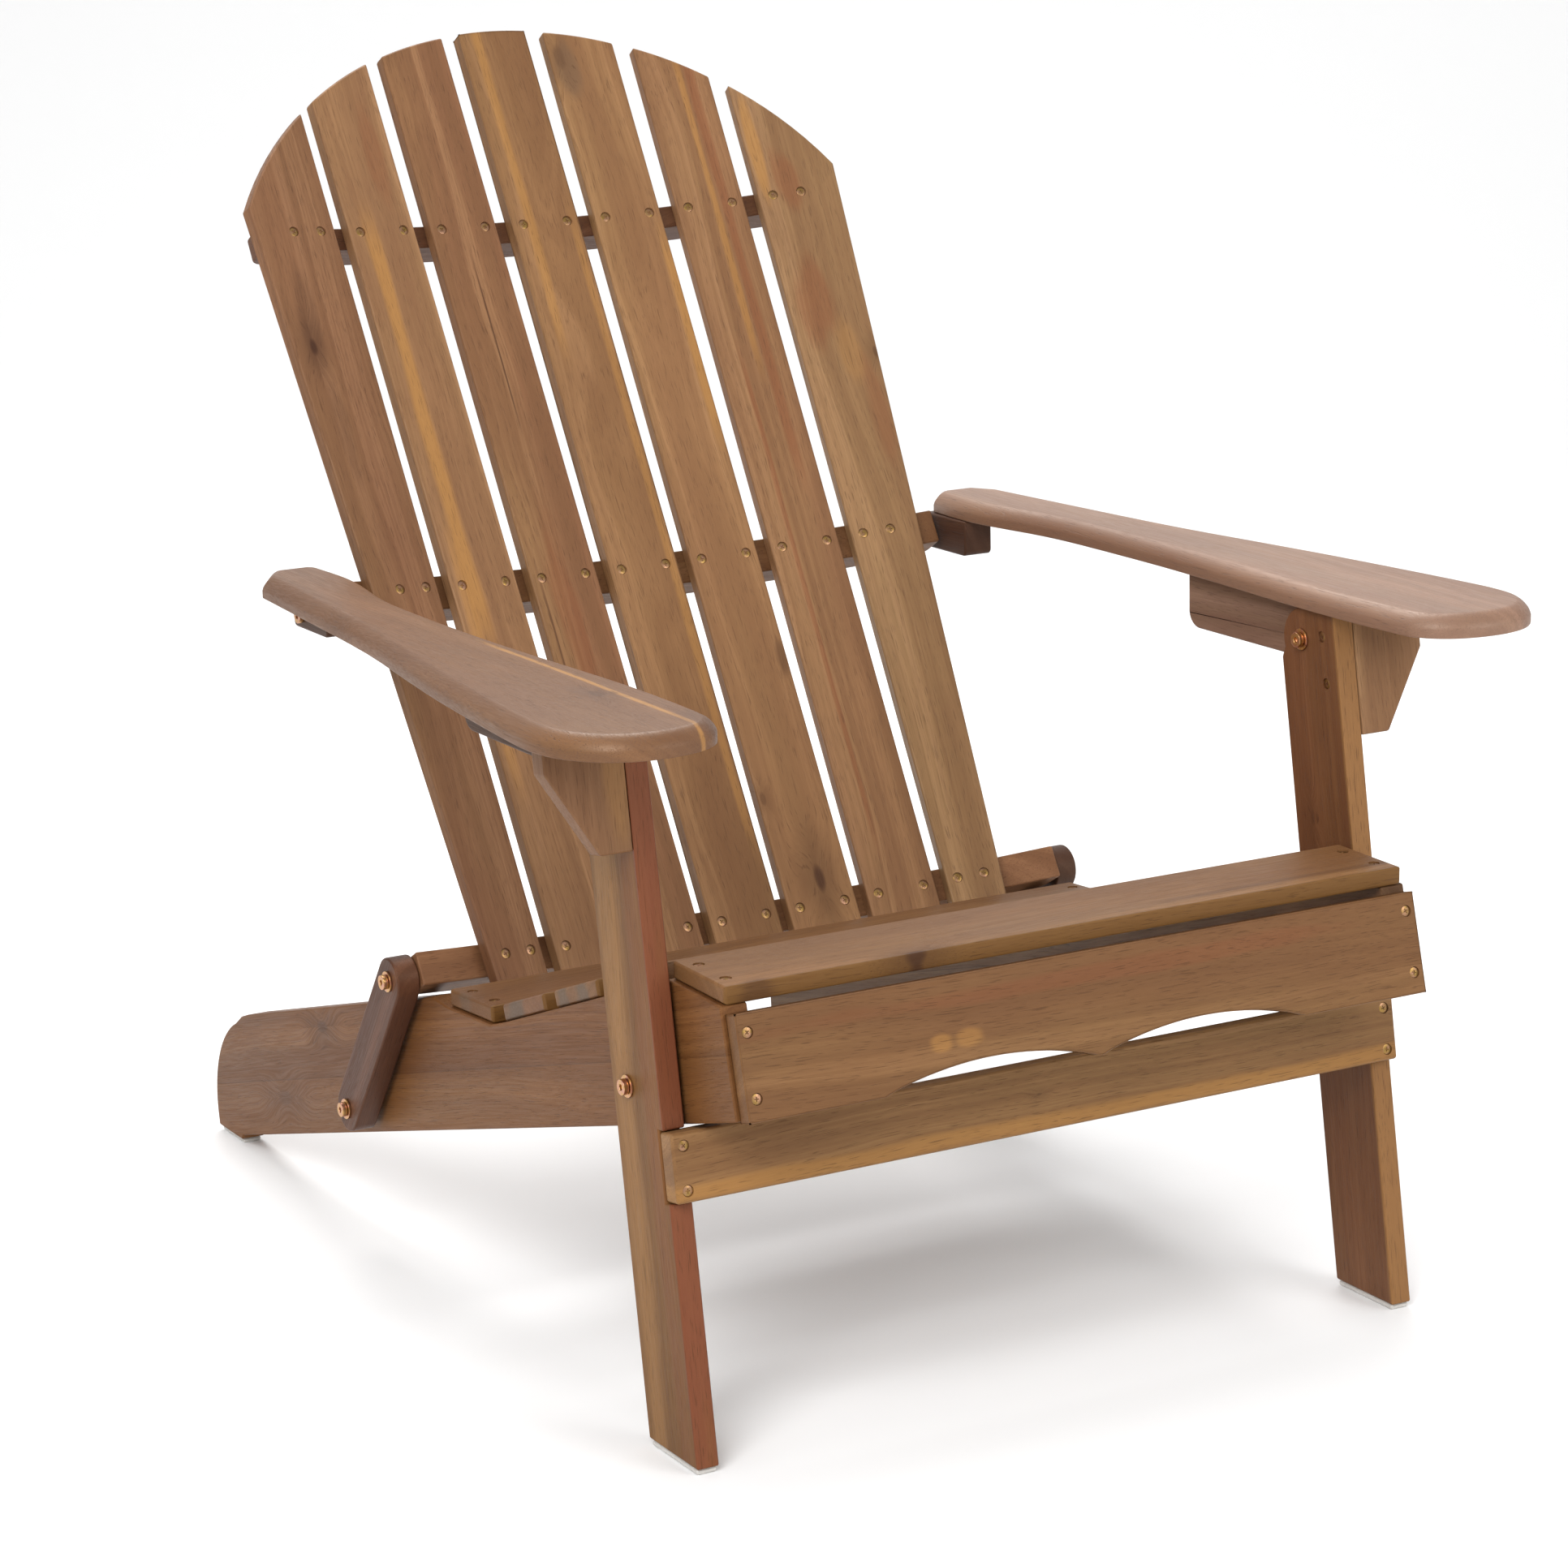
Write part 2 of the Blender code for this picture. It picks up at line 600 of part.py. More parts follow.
# ---------------------------------------------------------------- links
def link(name, side):
    """Straight bar with round ends from the bottom cross rail to the side rail."""
    top, foot = Vector(LINK_TOP), Vector(LINK_FOOT)
    radius = LINK_WIDTH / 2
    heading = math.degrees(math.atan2(top.y - foot.y, top.x - foot.x))
    outline = arc(top, radius, heading - 90, heading + 90, 18)
    outline += arc(foot, radius, heading + 90, heading + 270, 18)
    outline = [(depth(y), z) for y, z in outline]
    middle = side * (LINK_INNER + LINK_OUTER) / 2
    piece = board(name, outline, side_plane(middle), LINK_OUTER - LINK_INNER, DARK)
    bore(piece, middle, LINK_TOP, THROUGH)
    bore(piece, middle, LINK_FOOT, THROUGH)


# ---------------------------------------------------------------- edges
def ease(piece, width):
    """Breaks every sharp edge of a plain board."""
    bevel = piece.modifiers.new("ease", "BEVEL")
    bevel.width = width
    bevel.segments = 1
    bevel.limit_method = "ANGLE"
    bevel.angle_limit = math.radians(50)


def round_top(piece, width):
    """Rounds only the upper rim of a level board."""
    mesh = piece.data
    top = max(vertex.co.z for vertex in mesh.vertices)
    rim = mesh.attributes.new("bevel_weight_edge", "FLOAT", "EDGE")
    counts = {}
    for face in mesh.polygons:
        if face.normal.z > 0.9:
            for key in face.edge_keys:
                counts[key] = counts.get(key, 0) + 1
    for edge in mesh.edges:
        ends = [mesh.vertices[i].co.z for i in edge.vertices]
        on_top = min(ends) > top - 0.0001
        rim.data[edge.index].value = 1.0 if on_top and counts.get(edge.key) == 1 else 0.0
    bevel = piece.modifiers.new("round", "BEVEL")
    bevel.width = width
    bevel.segments = 3
    bevel.limit_method = "WEIGHT"


# ---------------------------------------------------------------- glides and bolts
def glide(name, x, near, far):
    """Thin plastic foot under a board."""
    mesh = bpy.data.meshes.new(name)
    cage = bmesh.new()
    bmesh.ops.create_cube(cage, size=1.0)
    scale = Vector((2 * GLIDE_HALF, far - near, GLIDE))
    bmesh.ops.scale(cage, vec=scale, verts=cage.verts)
    cage.to_mesh(mesh)
    cage.free()
    piece = link_part(name, mesh, GLIDE_PLASTIC)
    piece.location = (x, depth((near + far) / 2), GLIDE / 2)
    ease(piece, GLIDE_EASE)


def bolt(name, start, end, place):
    """Socket-head bolt along X: its head starts at start and its tip is at end."""
    out = 1 if abs(start) > abs(end) else -1
    out *= 1 if start > 0 else -1
    head_top = start + out * HEAD_HEIGHT
    piece = link_part(name, cylinder_mesh(name, HEAD_RADIUS, HEAD_HEIGHT), ZINC)
    piece.matrix_world = across((start + head_top) / 2, place)
    shade_round(piece)
    inside = start + out * HEAD_HEIGHT / 2
    shank = cylinder_mesh(name + "_shank", BOLT_RADIUS, abs(inside - end))
    boolean(piece, shank, across((inside + end) / 2, place), "UNION")
    socket = cylinder_mesh(name + "_socket", SOCKET_RADIUS, 2 * SOCKET_DEPTH, 6)
    boolean(piece, socket, across(head_top, place), "DIFFERENCE")


def ring(name, x, place, radius, hole, thickness, look, sides=ROUND_SIDES):
    """Washer, spacer or nut: a disc with a round hole, centred at x."""
    piece = link_part(name, cylinder_mesh(name, radius, thickness, sides), look)
    piece.matrix_world = across(x, place)
    shade_round(piece)
    through = cylinder_mesh(name + "_hole", hole, 3 * thickness)
    boolean(piece, through, across(x, place), "DIFFERENCE")


def washer(name, face, out, place):
    """Yellow zinc washer on a face, on the side that out points to."""
    ring(name, face + out * WASHER / 2, place, WASHER_RADIUS, BOLT_HOLE, WASHER, ZINC)


def spacer(name, side, near, far, place):
    """Steel washer that fills the space between two boards."""
    thick = far - near - 2 * GAP
    ring(name, side * (near + far) / 2, place, WASHER_RADIUS, BOLT_HOLE, thick, STEEL)


def nut(name, side, place):
    """Hexagon nut on the inner face of a side rail."""
    x = side * (RAIL_INNER - GAP - NUT_HEIGHT / 2)
    ring(name, x, place, NUT_RADIUS, BOLT_HOLE, NUT_HEIGHT, STEEL, 6)


def shade_round(piece):
    piece.data.shade_smooth()
    piece.data.set_sharp_from_angle(angle=math.radians(40))


# ---------------------------------------------------------------- assembly
NAMES = {1: "left", -1: "right"}

for number in range(-3, 4):
    back_slat(f"back_slat_{number + 4}", number)
for name, (low, high, half) in RAILS.items():
    back_rail(name, low, high, half)
for number, place in enumerate(seat_slats(), start=1):
    seat_slat(f"seat_slat_{number}", place)
apron("apron")
stretcher("stretcher")

for side, word in NAMES.items():
    side_rail(f"side_rail_{word}", side)
    leg(f"leg_{word}", side)
    corbel(f"corbel_{word}", side)
    arm(f"arm_{word}", side)
    front_cleat(f"front_cleat_{word}", side)
    rear_block(f"rear_block_{word}", side)
    link(f"link_{word}", side)

    leg_middle = side * (LEG_INNER + LEG_OUTER) / 2
    rail_middle = side * (RAIL_INNER + RAIL_OUTER) / 2
    glide(f"front_glide_{word}", leg_middle, *FRONT_GLIDE)
    glide(f"rear_glide_{word}", rail_middle, *REAR_GLIDE)
    head_outside_link = side * (LINK_OUTER + WASHER + 2 * GAP)
    tip_inside_nut = side * (RAIL_INNER - NUT_HEIGHT - GAP)

    # Leg to side rail: head outside the leg, nut inside the rail.
    head = side * (LEG_OUTER + WASHER + 2 * GAP)
    bolt(f"leg_bolt_{word}", head, tip_inside_nut, LEG_PIVOT)
    washer(f"leg_washer_{word}", side * (LEG_OUTER + GAP), side, LEG_PIVOT)
    spacer(f"leg_spacer_{word}", side, RAIL_OUTER, LEG_INNER, LEG_PIVOT)
    nut(f"leg_nut_{word}", side, LEG_PIVOT)

    # Leg to front cleat: head inside the leg, tip in the cleat.
    head, tip = LEG_INNER - WASHER - 2 * GAP, LEG_OUTER + CLEAT_HOLE - TIP_CLEARANCE
    bolt(f"arm_bolt_{word}", side * head, side * tip, ARM_PIVOT)
    washer(f"arm_washer_{word}", side * (LEG_INNER - GAP), -side, ARM_PIVOT)

    # Rear block to middle cross rail: head outside the block.
    head, tip = BLOCK_OUTER + GAP, BLOCK_INNER + BACK_TIP
    bolt(f"back_bolt_{word}", side * head, side * tip, BACK_PIVOT)

    # Link to bottom cross rail: head outside the link, tip in the rail's end.
    tip = RAILS["back_rail_bottom"][2] - BLIND_HOLE + TIP_CLEARANCE
    bolt(f"link_top_bolt_{word}", head_outside_link, side * tip, LINK_TOP)
    washer(f"link_top_washer_{word}", side * (LINK_OUTER + GAP), side, LINK_TOP)

    # Link to side rail: head outside the link, nut inside the rail.
    bolt(f"link_foot_bolt_{word}", head_outside_link, tip_inside_nut, LINK_FOOT)
    washer(f"link_foot_washer_{word}", side * (LINK_OUTER + GAP), side, LINK_FOOT)
    nut(f"link_foot_nut_{word}", side, LINK_FOOT)


# ---------------------------------------------------------------- joint axes
def hang(axis_name, place, starts, ending=""):
    """Parents the pieces of one moving body to an empty on its joint's axis."""
    axis = bpy.data.objects.new(axis_name, None)
    axis.location = (0, depth(place[0]), place[1])
    parts.objects.link(axis)
    bpy.context.view_layer.update()
    for piece in parts.objects:
        if piece.name.startswith(starts) and piece.name.endswith(ending):
            piece.parent = axis
            piece.matrix_parent_inverse = axis.matrix_world.inverted()


FRONT_FRAME = ("leg_left", "leg_right", "corbel", "front_glide", "stretcher", "arm_bolt")
FRONT_FRAME += ("arm_washer", "leg_bolt", "leg_washer", "leg_nut")
hang("fold_axis", LEG_PIVOT, FRONT_FRAME)
hang("back_axis", LINK_TOP, ("back_slat", "back_rail"))
for word in NAMES.values():
    arm_assembly = (f"arm_{word}", "front_cleat", "rear_block", "back_bolt")
    hang(f"arm_axis_{word}", ARM_PIVOT, arm_assembly, word)
    hang(f"link_axis_{word}", LINK_FOOT, (f"link_{word}", "link_top"), word)
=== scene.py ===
"""Looks for the folding adirondack chair: oiled acacia boards, zinc screws and bolts, plastic glides.

Every board is built from the outline of its CAD solid with rounded edges, and with a counterbored
hole under each screw. It carries its own grain coordinates: along the grain, across the board,
into the board.
"""

import json
import math

import bmesh
import bpy
from mathutils import Matrix, Vector

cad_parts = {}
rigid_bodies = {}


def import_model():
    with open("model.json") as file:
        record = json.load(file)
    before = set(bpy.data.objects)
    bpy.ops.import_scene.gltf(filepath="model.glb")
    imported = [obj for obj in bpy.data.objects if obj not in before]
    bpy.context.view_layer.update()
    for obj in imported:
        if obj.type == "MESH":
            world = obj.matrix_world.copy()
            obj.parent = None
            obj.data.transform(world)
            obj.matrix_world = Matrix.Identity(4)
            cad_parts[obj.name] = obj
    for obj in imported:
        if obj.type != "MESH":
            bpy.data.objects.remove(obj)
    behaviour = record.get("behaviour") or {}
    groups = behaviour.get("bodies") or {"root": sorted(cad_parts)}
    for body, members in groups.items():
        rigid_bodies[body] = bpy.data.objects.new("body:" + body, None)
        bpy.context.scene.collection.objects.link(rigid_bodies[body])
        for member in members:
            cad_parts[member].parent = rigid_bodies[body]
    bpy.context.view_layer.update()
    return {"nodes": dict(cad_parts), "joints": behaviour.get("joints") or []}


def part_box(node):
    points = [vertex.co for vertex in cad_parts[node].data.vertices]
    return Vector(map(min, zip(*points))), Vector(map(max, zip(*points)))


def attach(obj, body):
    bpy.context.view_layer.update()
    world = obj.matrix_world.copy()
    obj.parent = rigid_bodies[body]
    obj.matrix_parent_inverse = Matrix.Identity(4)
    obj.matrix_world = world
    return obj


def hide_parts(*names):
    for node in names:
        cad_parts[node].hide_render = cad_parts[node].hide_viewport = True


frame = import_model()
nodes = frame["nodes"]

# ---------------------------------------------------------------- sizes
WELD = 0.00001                             # corners closer than this are one corner
SAME_LEVEL = 0.0001                        # heights closer than this are one height
FLAT_ANGLE = math.radians(0.3)             # faces that turn less than this are one face
SHARP_ANGLE = math.radians(25)             # a board's edges sharper than this get a rounding
ARM_SHARP_ANGLE = math.radians(38)
FITTING_SHARP_ANGLE = math.radians(50)
SMOOTH_ANGLE = math.radians(35)            # edges flatter than this are shaded smooth
BACK_ORIGIN = Vector((0.0, 0.0250, 0.2365))
BACK_LEAN = math.radians(30.1)
BACK_UP = Vector((0.0, math.sin(BACK_LEAN), math.cos(BACK_LEAN)))
SCREW_HEIGHTS = (0.0045, 0.2945, 0.5905)   # of the back's three screw rows
SCREW_SPREAD = 0.0193                      # from an inner slat's centre line
OUTER_SCREWS = ((0.19, 0.70), (0.16, 0.58), (0.17, 0.53))   # shares of an outer slat's width
SEAT_SCREW_X, SEAT_SCREW_OFF = 0.258, 0.0180                # off: from a seat slat's centre line
APRON_SCREW_X, APRON_SCREW_Z = 0.261, (0.3056, 0.2639)
STRETCHER_SCREW_X, STRETCHER_SCREW_Z = 0.282, (0.2195, 0.1900)
LEG_INSIDE = 0.2745                                         # x of a leg's inner face
LEG_SCREWS = ((-0.3203, 0.478), (-0.3264, 0.4451))          # y and z on that face
BORE_RADIUS, BORE_DEPTH, BORE_CLEAR = 0.0041, 0.0013, 0.004
HEAD_RADIUS, HEAD_DEPTH, HEAD_SINK, HEAD_EDGE = 0.0037, 0.0016, 0.0008, 0.0004
RECESS_LENGTH, RECESS_WIDTH, RECESS_DEPTH, RECESS_TAPER = 0.0021, 0.00045, 0.0015, 0.55
HEAD_SIDES, BORE_SIDES = 28, 24
EDGE, SLAT_EDGE, BACK_SLAT_EDGE = 0.0016, 0.0007, 0.0006    # widths of rounded edges
ARM_TOP = 0.5125
ARM_BEVEL, ARM_BEVEL_SHAPE, ARM_EDGE = 0.0105, 0.40, 0.0009
BOLT_EDGE, WASHER_EDGE, NUT_EDGE, GLIDE_EDGE = 0.0004, 0.0002, 0.0003, 0.0005
BACK_PIVOT = Vector((0.0, 0.1870, 0.4775))
LINK_FOOT = Vector((0.0, 0.1330, 0.1080))
PIVOT_REACH = 0.0055                       # a bolt hole's rim lies within this of its axis
SIDES = (("left", 1), ("right", -1))

axes_of_bolts = [Vector(joint["pos_m"]) for joint in frame["joints"]] + [BACK_PIVOT, LINK_FOOT]


# ---------------------------------------------------------------- mesh work
def cad_cage(node):
    """The CAD solid as a welded cage with its flat faces whole."""
    cage = bmesh.new()
    cage.from_mesh(nodes[node].data)
    bmesh.ops.remove_doubles(cage, verts=cage.verts, dist=WELD)
    bmesh.ops.dissolve_limit(cage, angle_limit=FLAT_ANGLE, verts=cage.verts, edges=cage.edges)
    cage.normal_update()
    return cage


def is_rim(edge, normal):
    """True for a sharp edge that lies in a plane facing this way."""
    heading = (edge.verts[1].co - edge.verts[0].co).normalized()
    least_turn, most_lean = 0.3, 0.001
    return edge.calc_face_angle(0.0) > least_turn and abs(heading.dot(normal)) < most_lean


def board_frame(cage):
    """Matrix of the board, and its show face's outline in that matrix.
    X lies along the longest edge, Z points out of the show face, the origin is the face's middle."""
    outward = Vector((1.0, -0.55, 0.5))        # the usual way of a show face, on the left side
    grain_sense = Vector((1.0, 0.3, 0.6))      # X points this way rather than the other
    back_face_share = 0.98                     # how much a face turned away counts
    same_plane = 0.00002

    def showing(face):
        side = math.copysign(1.0, face.calc_center_median().x)
        towards = face.normal.dot(Vector((side * outward.x, outward.y, outward.z)))
        return face.calc_area() * (1.0 if towards > 0 else back_face_share)

    face = max(cage.faces, key=showing)
    normal = face.normal.copy()
    rims = [e for e in cage.edges if is_rim(e, normal)]
    edge = max(rims, key=lambda e: e.calc_length())
    along = (edge.verts[1].co - edge.verts[0].co).normalized()
    if along.dot(grain_sense) < 0:
        along = -along
    wide = normal.cross(along)
    turn = Matrix((along, wide, normal)).transposed()
    level = normal.dot(face.verts[0].co)
    rim = [v for v in cage.verts if abs(normal.dot(v.co) - level) < same_plane]
    local = [turn.inverted() @ v.co for v in rim]
    middle = [(min(p[i] for p in local) + max(p[i] for p in local)) / 2 for i in (0, 1)]
    matrix = turn.to_4x4()
    matrix.translation = turn @ Vector((middle[0], middle[1], local[0].z))
    ring = [turn.inverted() @ v.co for v in face.verts]
    return matrix, [(p.x - middle[0], p.y - middle[1]) for p in ring]


def set_weights(mesh):
    """Bevel weight 1 on sharp edges, and 0 on the rims of bolt holes."""
    cage = bmesh.new()
    cage.from_mesh(mesh)
    layer = cage.edges.layers.float.new("bevel_weight_edge")
    for edge in cage.edges:
        middle = (edge.verts[0].co + edge.verts[1].co) / 2
        near = any(math.hypot(middle.y - a.y, middle.z - a.z) < PIVOT_REACH for a in axes_of_bolts)
        sharp = len(edge.link_faces) == 2 and edge.calc_face_angle(0.0) > SHARP_ANGLE
        edge[layer] = 1.0 if sharp and not near else 0.0
    cage.to_mesh(mesh)
    cage.free()


def bevel(piece, width, segments, profile=0.5, limit="WEIGHT"):
    """Rounds the piece's edges by weight or by angle."""
    step = piece.modifiers.new("bevel", "BEVEL")
    step.width = width
    step.segments = segments
    step.profile = profile
    step.limit_method = limit
    step.use_clamp_overlap = False
    return step


def settle(piece):
    """Turns the modifiers into the piece's own mesh."""
    graph = bpy.context.evaluated_depsgraph_get()
    made = bpy.data.meshes.new_from_object(piece.evaluated_get(graph))
    piece.modifiers.clear()
    piece.data = made
    made.name = piece.name


def new_piece(name, mesh):
    piece = bpy.data.objects.new(name, mesh)
    bpy.context.scene.collection.objects.link(piece)
    return piece


def mesh_of(cage, name):
    mesh = bpy.data.meshes.new(name)
    cage.to_mesh(mesh)
    cage.free()
    return mesh


def soften(piece):
    """Smooth shading over rounded edges, with the flat faces kept flat."""
    piece.data.shade_smooth()
    piece.data.set_sharp_from_angle(angle=SMOOTH_ANGLE)
    step = piece.modifiers.new("normals", "WEIGHTED_NORMAL")
    step.keep_sharp = True
    settle(piece)


def store_grain(piece, matrix):
    """Gives every vertex its place in the board's frame."""
    inverse = matrix.inverted()
    layer = piece.data.attributes.new("grain", "FLOAT_VECTOR", "POINT")
    values = []
    for vertex in piece.data.vertices:
        values.extend(inverse @ vertex.co)
    layer.data.foreach_set("vector", values)


def dress(piece, node, material):
    """Puts the piece in its CAD solid's place."""
    piece.data.materials.clear()
    piece.data.materials.append(material)
    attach(piece, nodes[node].parent.name.replace("body:", ""))
    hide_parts(node)


# ---------------------------------------------------------------- screws
def cylinder(radius, low, high, sides):
    cage = bmesh.new()
    bmesh.ops.create_cone(
        cage, cap_ends=True, segments=sides, radius1=radius, radius2=radius, depth=high - low,
        matrix=Matrix.Translation((0, 0, (low + high) / 2)),
    )
    return cage


def wing(turn):
    """One bar of a cross recess, narrower at its bottom."""
    cage = bmesh.new()
    bmesh.ops.create_cube(cage, size=2.0)
    for vertex in cage.verts:
        narrow = RECESS_TAPER if vertex.co.z < 0 else 1.0
        vertex.co.x *= RECESS_LENGTH * narrow
        vertex.co.y *= RECESS_WIDTH * narrow
        vertex.co.z *= RECESS_DEPTH
    bmesh.ops.rotate(cage, verts=cage.verts, matrix=Matrix.Rotation(turn, 3, "Z"))
    return cage


def screw_head():
    """Cross-recess head with its top at z = 0."""
    blank = cylinder(HEAD_RADIUS, -HEAD_DEPTH, 0.0, HEAD_SIDES)
    head = new_piece("screw_head", mesh_of(blank, "screw_head"))
    bevel(head, HEAD_EDGE, 2, limit="ANGLE")
    for turn in (0.0, math.pi / 2):
        tool = new_piece("recess", mesh_of(wing(turn), "recess"))
        cut = head.modifiers.new("recess", "BOOLEAN")
        cut.object = tool
        cut.solver = "MANIFOLD"
    settle(head)
    for tool in [o for o in bpy.data.objects if o.name.startswith("recess")]:
        bpy.data.objects.remove(tool)
    return head


def place_on(point, normal, turn):
    """Matrix that stands a screw on a face. Each screw's cross has its own turn, in radians."""
    matrix = Vector(normal).to_track_quat("Z", "Y").to_matrix().to_4x4()
    matrix.translation = Vector(point)
    return matrix @ Matrix.Rotation(turn, 4, "Z")


def counterbore(piece, places):
    """Cuts a shallow round seat for each screw."""
    tools = bmesh.new()
    for place in places:
        one = cylinder(BORE_RADIUS, -BORE_DEPTH, BORE_CLEAR, BORE_SIDES)
        one.transform(place)
        mesh = mesh_of(one, "seat")
        tools.from_mesh(mesh)
        bpy.data.meshes.remove(mesh)
    tool = new_piece("seats", mesh_of(tools, "seats"))
    cut = piece.modifiers.new("seats", "BOOLEAN")
    cut.object = tool
    cut.solver = "MANIFOLD"
    settle(piece)
    bpy.data.objects.remove(tool)


def screws(node, places, template, material):
    """All of a board's screw heads as one piece."""
    heads = bmesh.new()
    for place in places:
        copy = template.data.copy()
        copy.transform(place @ Matrix.Translation((0, 0, -HEAD_SINK)))
        heads.from_mesh(copy)
        bpy.data.meshes.remove(copy)
    piece = new_piece(node + "_screws", mesh_of(heads, node + "_screws"))
    piece.data.shade_smooth()
    piece.data.set_sharp_from_angle(angle=SMOOTH_ANGLE)
    piece.data.materials.clear()
    piece.data.materials.append(material)
    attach(piece, nodes[node].parent.name.replace("body:", ""))


def across_at(outline, u):
    """Lowest and highest v of a face outline at this u."""
    hits = []
    for (u0, v0), (u1, v1) in zip(outline, outline[1:] + outline[:1]):
        if (u0 - u) * (u1 - u) <= 0 and abs(u1 - u0) > 1e-9:
            hits.append(v0 + (v1 - v0) * (u - u0) / (u1 - u0))
    return min(hits), max(hits)


def slat_screws(matrix, outline, number):
    """Two screws on each rail: evenly spread, and closer to the middle of the back on slats 1 and 7."""
    places = []
    along, normal = matrix.col[0].to_3d(), matrix.col[2].to_3d()
    for row, height in enumerate(SCREW_HEIGHTS):
        start = (matrix.translation - BACK_ORIGIN).dot(BACK_UP)
        u = (height - start) / along.dot(BACK_UP)
        low, high = across_at(outline, u)
        middle = (low + high) / 2
        spots = [middle - SCREW_SPREAD, middle + SCREW_SPREAD]
        if number in (1, 7):
            ends = [abs((matrix @ Vector((u, v, 0))).x) for v in (low, high)]
            inner, outer = (low, high) if ends[0] < ends[1] else (high, low)
            spots = [inner + (outer - inner) * share for share in OUTER_SCREWS[row]]
        for i, v in enumerate(spots):
            turn = 0.7 * number + 1.9 * row + 1.1 * i
            places.append(place_on(matrix @ Vector((u, v, 0)), normal, turn))
    return places


def level_screws(matrix, spots):
    """Screws at (u, v) spots on the show face."""
    normal = matrix.col[2].to_3d()
    return [place_on(matrix @ Vector((u, v, 0)), normal, 1.3 * i) for i, (u, v) in enumerate(spots)]


def upright_screws(matrix, spots):
    """Screws at (x, z) spots on a face that looks forward."""
    normal = matrix.col[2].to_3d()
    origin = matrix.translation
    places = []
    for i, (x, z) in enumerate(spots):
        y = origin.y - (normal.x * (x - origin.x) + normal.z * (z - origin.z)) / normal.y
        places.append(place_on((x, y, z), normal, 0.9 * i + 0.4))
    return places


# ---------------------------------------------------------------- node graphs
class Graph:
    """A short way to write a shader's nodes."""

    def __init__(self, name):
        self.material = bpy.data.materials.new(name)
        self.material.use_nodes = True
        self.tree = self.material.node_tree
        self.shader = self.tree.nodes["Principled BSDF"]

    def add(self, kind, inputs=(), out=0, **settings):
        made = self.tree.nodes.new(kind)
        for key, value in settings.items():
            setattr(made, key, value)
        for key, value in dict(inputs).items():
            self.feed(made.inputs[key], value)
        return made.outputs[out]

    def feed(self, socket, value):
        if isinstance(value, bpy.types.NodeSocket):
            self.tree.links.new(value, socket)
        else:
            socket.default_value = value

    def math(self, operation, a, b=0.0):
        return self.add("ShaderNodeMath", {0: a, 1: b}, operation=operation)

    def length(self, a, b):
        """Square root of the sum of two squares."""
        squares = self.math("ADD", self.math("POWER", a, 2.0), self.math("POWER", b, 2.0))
        return self.math("SQRT", squares)

    def vector(self, operation, a, b=(0, 0, 0)):
        return self.add("ShaderNodeVectorMath", {0: a, 1: b}, operation=operation)

    def noise(self, vector, detail=2.0, roughness=0.5, out="Fac"):
        inputs = {"Vector": vector, "Scale": 1.0, "Detail": detail, "Roughness": roughness}
        return self.add("ShaderNodeTexNoise", inputs, out=out)

    def ramp(self, value, low, high, bottom=0.0, top=1.0):
        inputs = {"Value": value, "From Min": low, "From Max": high, "To Min": bottom, "To Max": top}
        return self.add("ShaderNodeMapRange", inputs, interpolation_type="SMOOTHSTEP")

    def mix(self, share, a, b, blend="MIX"):
        made = self.tree.nodes.new("ShaderNodeMix")
        made.data_type = "RGBA"
        made.blend_type = blend
        self.feed(made.inputs[0], share)
        self.feed(made.inputs[6], a)
        self.feed(made.inputs[7], b)
        return made.outputs[2]

    def split(self, vector):
        made = self.tree.nodes.new("ShaderNodeSeparateXYZ")
        self.feed(made.inputs[0], vector)
        return made.outputs

    def join(self, x, y, z):
        return self.add("ShaderNodeCombineXYZ", {0: x, 1: y, 2: z})

    def bump(self, height, distance, strength=1.0):
        self.feed(self.shader.inputs["Normal"], self.add(
            "ShaderNodeBump", {"Height": height, "Distance": distance, "Strength": strength}
        ))


def linear(red, green, blue):
    """Linear colour of a display colour given as 0-255."""
    def one(c):
        c /= 255
        return c / 12.92 if c <= 0.04045 else ((c + 0.055) / 1.055) ** 2.4
    return (one(red), one(green), one(blue), 1.0)


def tint(colour, factors):
    return (colour[0] * factors[0], colour[1] * factors[1], colour[2] * factors[2], 1.0)


# Factors of a board's middle colour, or of a metal's
LIGHT_BAND, DARK_BAND = (1.34, 1.38, 1.40), (0.58, 0.51, 0.47)
GOLD_ZONE, ROSY_ZONE = (1.14, 1.20, 1.08), (0.96, 0.80, 0.84)
DARK_CLOUD, LIGHT_CLOUD = (0.72, 0.64, 0.62), (1.28, 1.26, 1.20)
FINE_LINE, DARK_FIBRE = (0.66, 0.58, 0.54), (0.70, 0.64, 0.60)
GRAINED, GLUE_SEAM = (0.66, 0.60, 0.56), (0.40, 0.34, 0.30)
KNOT, PORE = (0.26, 0.20, 0.20), (0.34, 0.28, 0.26)
WEAR = (0.45, 0.42, 0.40)

# How often a pattern repeats in a metre: along, across and into a board, or in X, Y and Z
SWAY, RIPPLE = (2.2, 7.0, 9.0), (9.0, 55.0, 55.0)
ZONES, CLOUDS = (1.6, 13.0, 13.0), (5.5, 24.0, 24.0)
FIBRES, PORES = (14.0, 900.0, 900.0), (60.0, 1500.0, 1500.0)
BAND_STRETCH, FINE_RING = 0.55, 0.14       # fine lines: share of a growth band's width
METAL_DRIFT, METAL_SPECKS = (240.0,) * 3, (1900.0,) * 3
PLASTIC_CLOUDS, PLASTIC_SCUFFS = (260.0,) * 3, (900.0, 300.0, 900.0)

